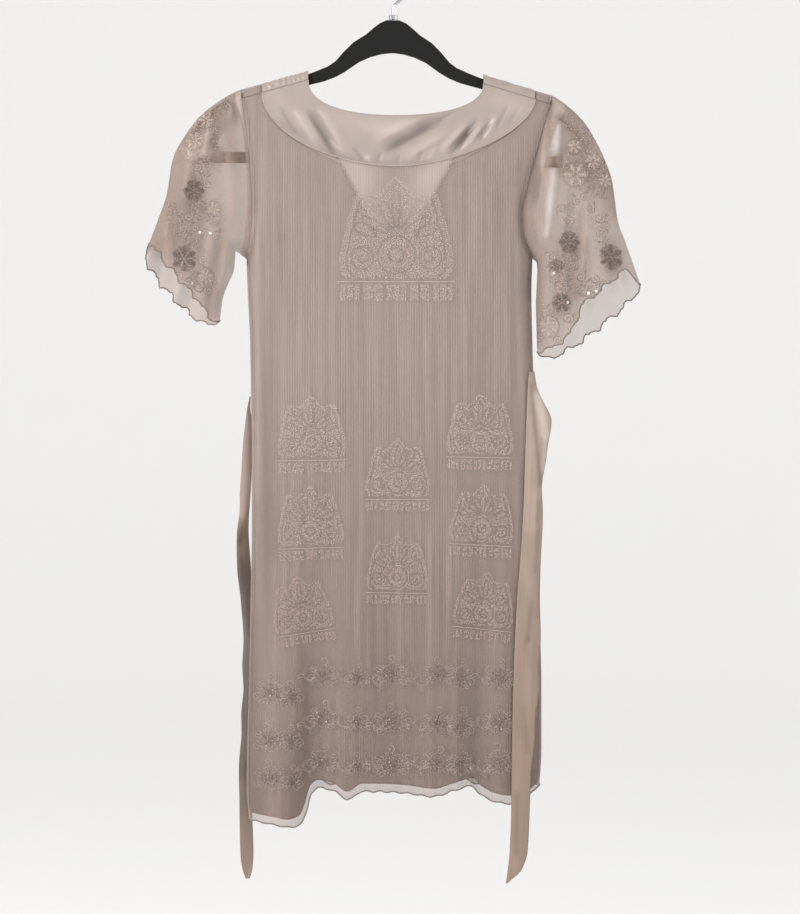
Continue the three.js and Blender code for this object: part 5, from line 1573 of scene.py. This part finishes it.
def sleeveEmbroidery(edge, target):
    plan = sleeveMotifs[edge]
    dark, pale, grey, sequins = [], [], [], []
    for x, z, across, high, turn in plan["beds"]:
        bed = ovalLine(x, z, across, high, turn)
        channels = [ringLine(x, z, min(across, high) * share) for share in (0.5, 0.9)]
        grey.append(seeded(bed, 1.7, channels, 0.8))
        pale.append(seeded(bed, 2.9, channels, 0.8))
    for i, (x, z, radius) in enumerate(plan["dark"]):
        dark.append(placed(flower(0, 0, radius, 6, filled=True), x, z, 1, 31 * i))
        bed = ovalLine(x, z, radius * 0.9, radius * 1.1, 25 * i)
        dark.append(seeded(bed, 1.5, [ringLine(x, z, radius * 0.3, 12)], 0.7))
        for k in range(9):
            angle = math.radians(40 * k + 17 * i)
            sequins.append((x + 0.6 * radius * math.cos(angle), z + 0.6 * radius * math.sin(angle), 1.0))
    for i, (x, z, radius) in enumerate(plan["pale"]):
        pale.append(placed(flower(0, 0, radius, 6 + i % 2, filled=True), x, z, 1, 23 * i))
        outline = [alongLine(ringLine(0, 0, radius + 1.4), 1.4)] + flower(0, 0, radius * 1.03, 6 + i % 2)
        grey.append(placed(outline, x, z, 1, 23 * i))
    for i, (x, z, radius, start) in enumerate(plan["scrolls"]):
        hand = 1 if i % 2 else -1
        grey.append(alongLine(scrollLine(x, z, radius, start, 1.5, hand), 1.2, height=0.5))
        pale.append(alongLine(scrollLine(x, z, radius * 0.78, start, 1.4, hand), 1.4))
        way = math.radians(start)
        grey.append(filledPetal(x + radius * math.cos(way), z + radius * math.sin(way), start + 70, 6, 3))
    pieces = [layStitches("sleeve_flowers_" + edge, dark, target, mauveThread),
              layStitches("sleeve_embroidery_" + edge, pale, target, paleThread),
              layStitches("sleeve_outlines_" + edge, grey, target, greyThread)]
    return pieces, sequins, [(x, z, 1.5) for x, z in plan["pearls"]]


sleeveWork = {edge: sleeveEmbroidery(edge, target) for edge, target in sleeves.items()}
skirtSequins = laySequins("skirt_sequins", bodySequins, chiffonFront, mauveSequin)
for edge in sleeves:
    sleeveTrim[edge] += sleeveWork[edge][0]
for number, (kind, material) in enumerate((("sequins", mauveSequin), ("pearls", pearlSequin)), 1):
    for edge, target in sleeves.items():
        name = "sleeve_" + kind + "_" + edge
        sleeveTrim[edge].append(laySequins(name, sleeveWork[edge][number], target, material))
print("embroidery laid")


# Hanger

wireHook = {"wire": 3.8, "innerRadius": 19, "tipAngle": 205, "backAngle": -48, "bendRadius": 10,
            "stemEnd": -61.7}


# wire bent in a ring over the rail, back under the middle and down into the hanger
def hookPiece():
    radius = wireHook["innerRadius"] + wireHook["wire"] / 2
    centreZ, bend = -wireHook["innerRadius"], wireHook["bendRadius"]
    tip, back = math.radians(wireHook["tipAngle"]), math.radians(wireHook["backAngle"])
    angle = np.linspace(tip, back, 90)
    ring = np.column_stack([radius * np.cos(angle), centreZ + radius * np.sin(angle)])
    heading = np.array([math.sin(back), -math.cos(back)])
    run = (ring[-1, 0] - bend * (1 - math.cos(back))) / -heading[0]
    end = ring[-1] + heading * run
    angle = np.linspace(-back, 0, 12)
    turned = np.column_stack([bend * (1 - np.cos(angle)), end[1] + bend * (np.sin(angle) - np.sin(angle[0]))])
    stem = straightLine(turned[-1], (0, wireHook["stemEnd"]), 12)
    flat = np.concatenate([ring, straightLine(ring[-1], end, 8)[1:-1], turned, stem[1:]])
    tilt = body["hangerTilt"]
    line = np.stack([flat[:, 0] * math.cos(tilt) + flat[:, 1] * math.sin(tilt), 0 * flat[:, 0],
                     flat[:, 1] * math.cos(tilt) - flat[:, 0] * math.sin(tilt)], -1)
    rolledPiece("wire_hook", [line], wireHook["wire"] / 2, chrome, "hook_wire", "hanger_hook", sides=20)


hookPiece()
for node in ("hanger_body", "hook_collar"):
    part = bpy.data.objects[node]
    part.data.materials.clear()
    part.data.materials.append(velvet if node == "hanger_body" else chrome)
print("hanger finished")
# Studio

studio = {"floorZ": -1.28, "floorRadius": 5.4, "cove": 1.8, "coveSteps": 12, "wallTop": 3.2, "glow": 0.09,
          "light": 0.78}


def studioBowl():
    bpy.ops.mesh.primitive_circle_add(vertices=96, radius=studio["floorRadius"], fill_type="NGON",
                                      location=(0, 0, studio["floorZ"]))
    floor = bpy.context.object
    floor.name = "studio_floor"
    bpy.ops.object.mode_set(mode="EDIT")
    bpy.ops.mesh.select_mode(type="EDGE")
    bpy.ops.mesh.select_all(action="SELECT")
    radius, height = studio["floorRadius"], 0
    for step in range(1, studio["coveSteps"] + 1):
        angle = step / studio["coveSteps"] * math.pi / 2
        newRadius = studio["floorRadius"] + studio["cove"] * math.sin(angle)
        newHeight = studio["cove"] * (1 - math.cos(angle))
        bpy.ops.mesh.extrude_edges_move(TRANSFORM_OT_translate={"value": (0, 0, newHeight - height)})
        bpy.ops.transform.resize(value=(newRadius / radius, newRadius / radius, 1),
                                 center_override=(0, 0, studio["floorZ"]))
        radius, height = newRadius, newHeight
    bpy.ops.mesh.extrude_edges_move(TRANSFORM_OT_translate={"value": (0, 0, studio["wallTop"] - height)})
    bpy.ops.object.mode_set(mode="OBJECT")
    bpy.ops.object.shade_smooth()
    paper = plainMaterial("pale studio paper", (238, 238, 237), (239, 238, 238), 0.9, scale=3, bump=0)
    shader = paper.node_tree.nodes["Principled BSDF"].inputs
    shader["Emission Color"].default_value = (1, 0.995, 0.99, 1)
    shader["Emission Strength"].default_value = studio["glow"]
    floor.data.materials.append(paper)
    floor.select_set(False)


def areaLight(name, place, target, size, power, colour, spread=180):
    bpy.ops.object.light_add(type="AREA", location=place)
    light = bpy.context.object
    light.name = name
    light.data.shape = "DISK"
    light.data.size = size
    light.data.energy = power
    light.data.color = colour
    light.data.spread = math.radians(spread)
    light.rotation_euler = (Vector(target) - Vector(place)).to_track_quat("-Z", "Y").to_euler()
    light.select_set(False)


studioBowl()
areaLight("key light", (-2.3, -2.2, 1.0), (0, 0, -0.45), 1.3, 92, (1, 0.985, 0.965))
areaLight("fill light", (2.4, -2.6, 0.0), (0, 0, -0.5), 2.4, 22, (0.97, 0.985, 1))
areaLight("back light", (0.3, 2.8, 0.1), (0, 0, -0.5), 1.2, 5, (1, 1, 1), 40)
world = bpy.context.scene.world or bpy.data.worlds.new("studio light")
bpy.context.scene.world = world
world.use_nodes = True
world.node_tree.nodes["Background"].inputs["Color"].default_value = (1, 1, 1, 1)
world.node_tree.nodes["Background"].inputs["Strength"].default_value = studio["light"]

bpy.context.scene.view_settings.view_transform = "Standard"

cameraView = {"x": 0.0063, "z": -0.5229, "distance": 3.0, "frontDepth": 0.015, "height": 0.9597, "sensor": 36}
bpy.ops.object.camera_add(location=(cameraView["x"], -cameraView["distance"], cameraView["z"]),
                          rotation=(math.radians(90), 0, 0))
camera = bpy.context.object
camera.name = "main_camera"
camera.data.sensor_width = cameraView["sensor"]
frontDistance = cameraView["distance"] - cameraView["frontDepth"]
camera.data.lens = cameraView["sensor"] * frontDistance / cameraView["height"]
bpy.context.scene.camera = camera
print("studio set")
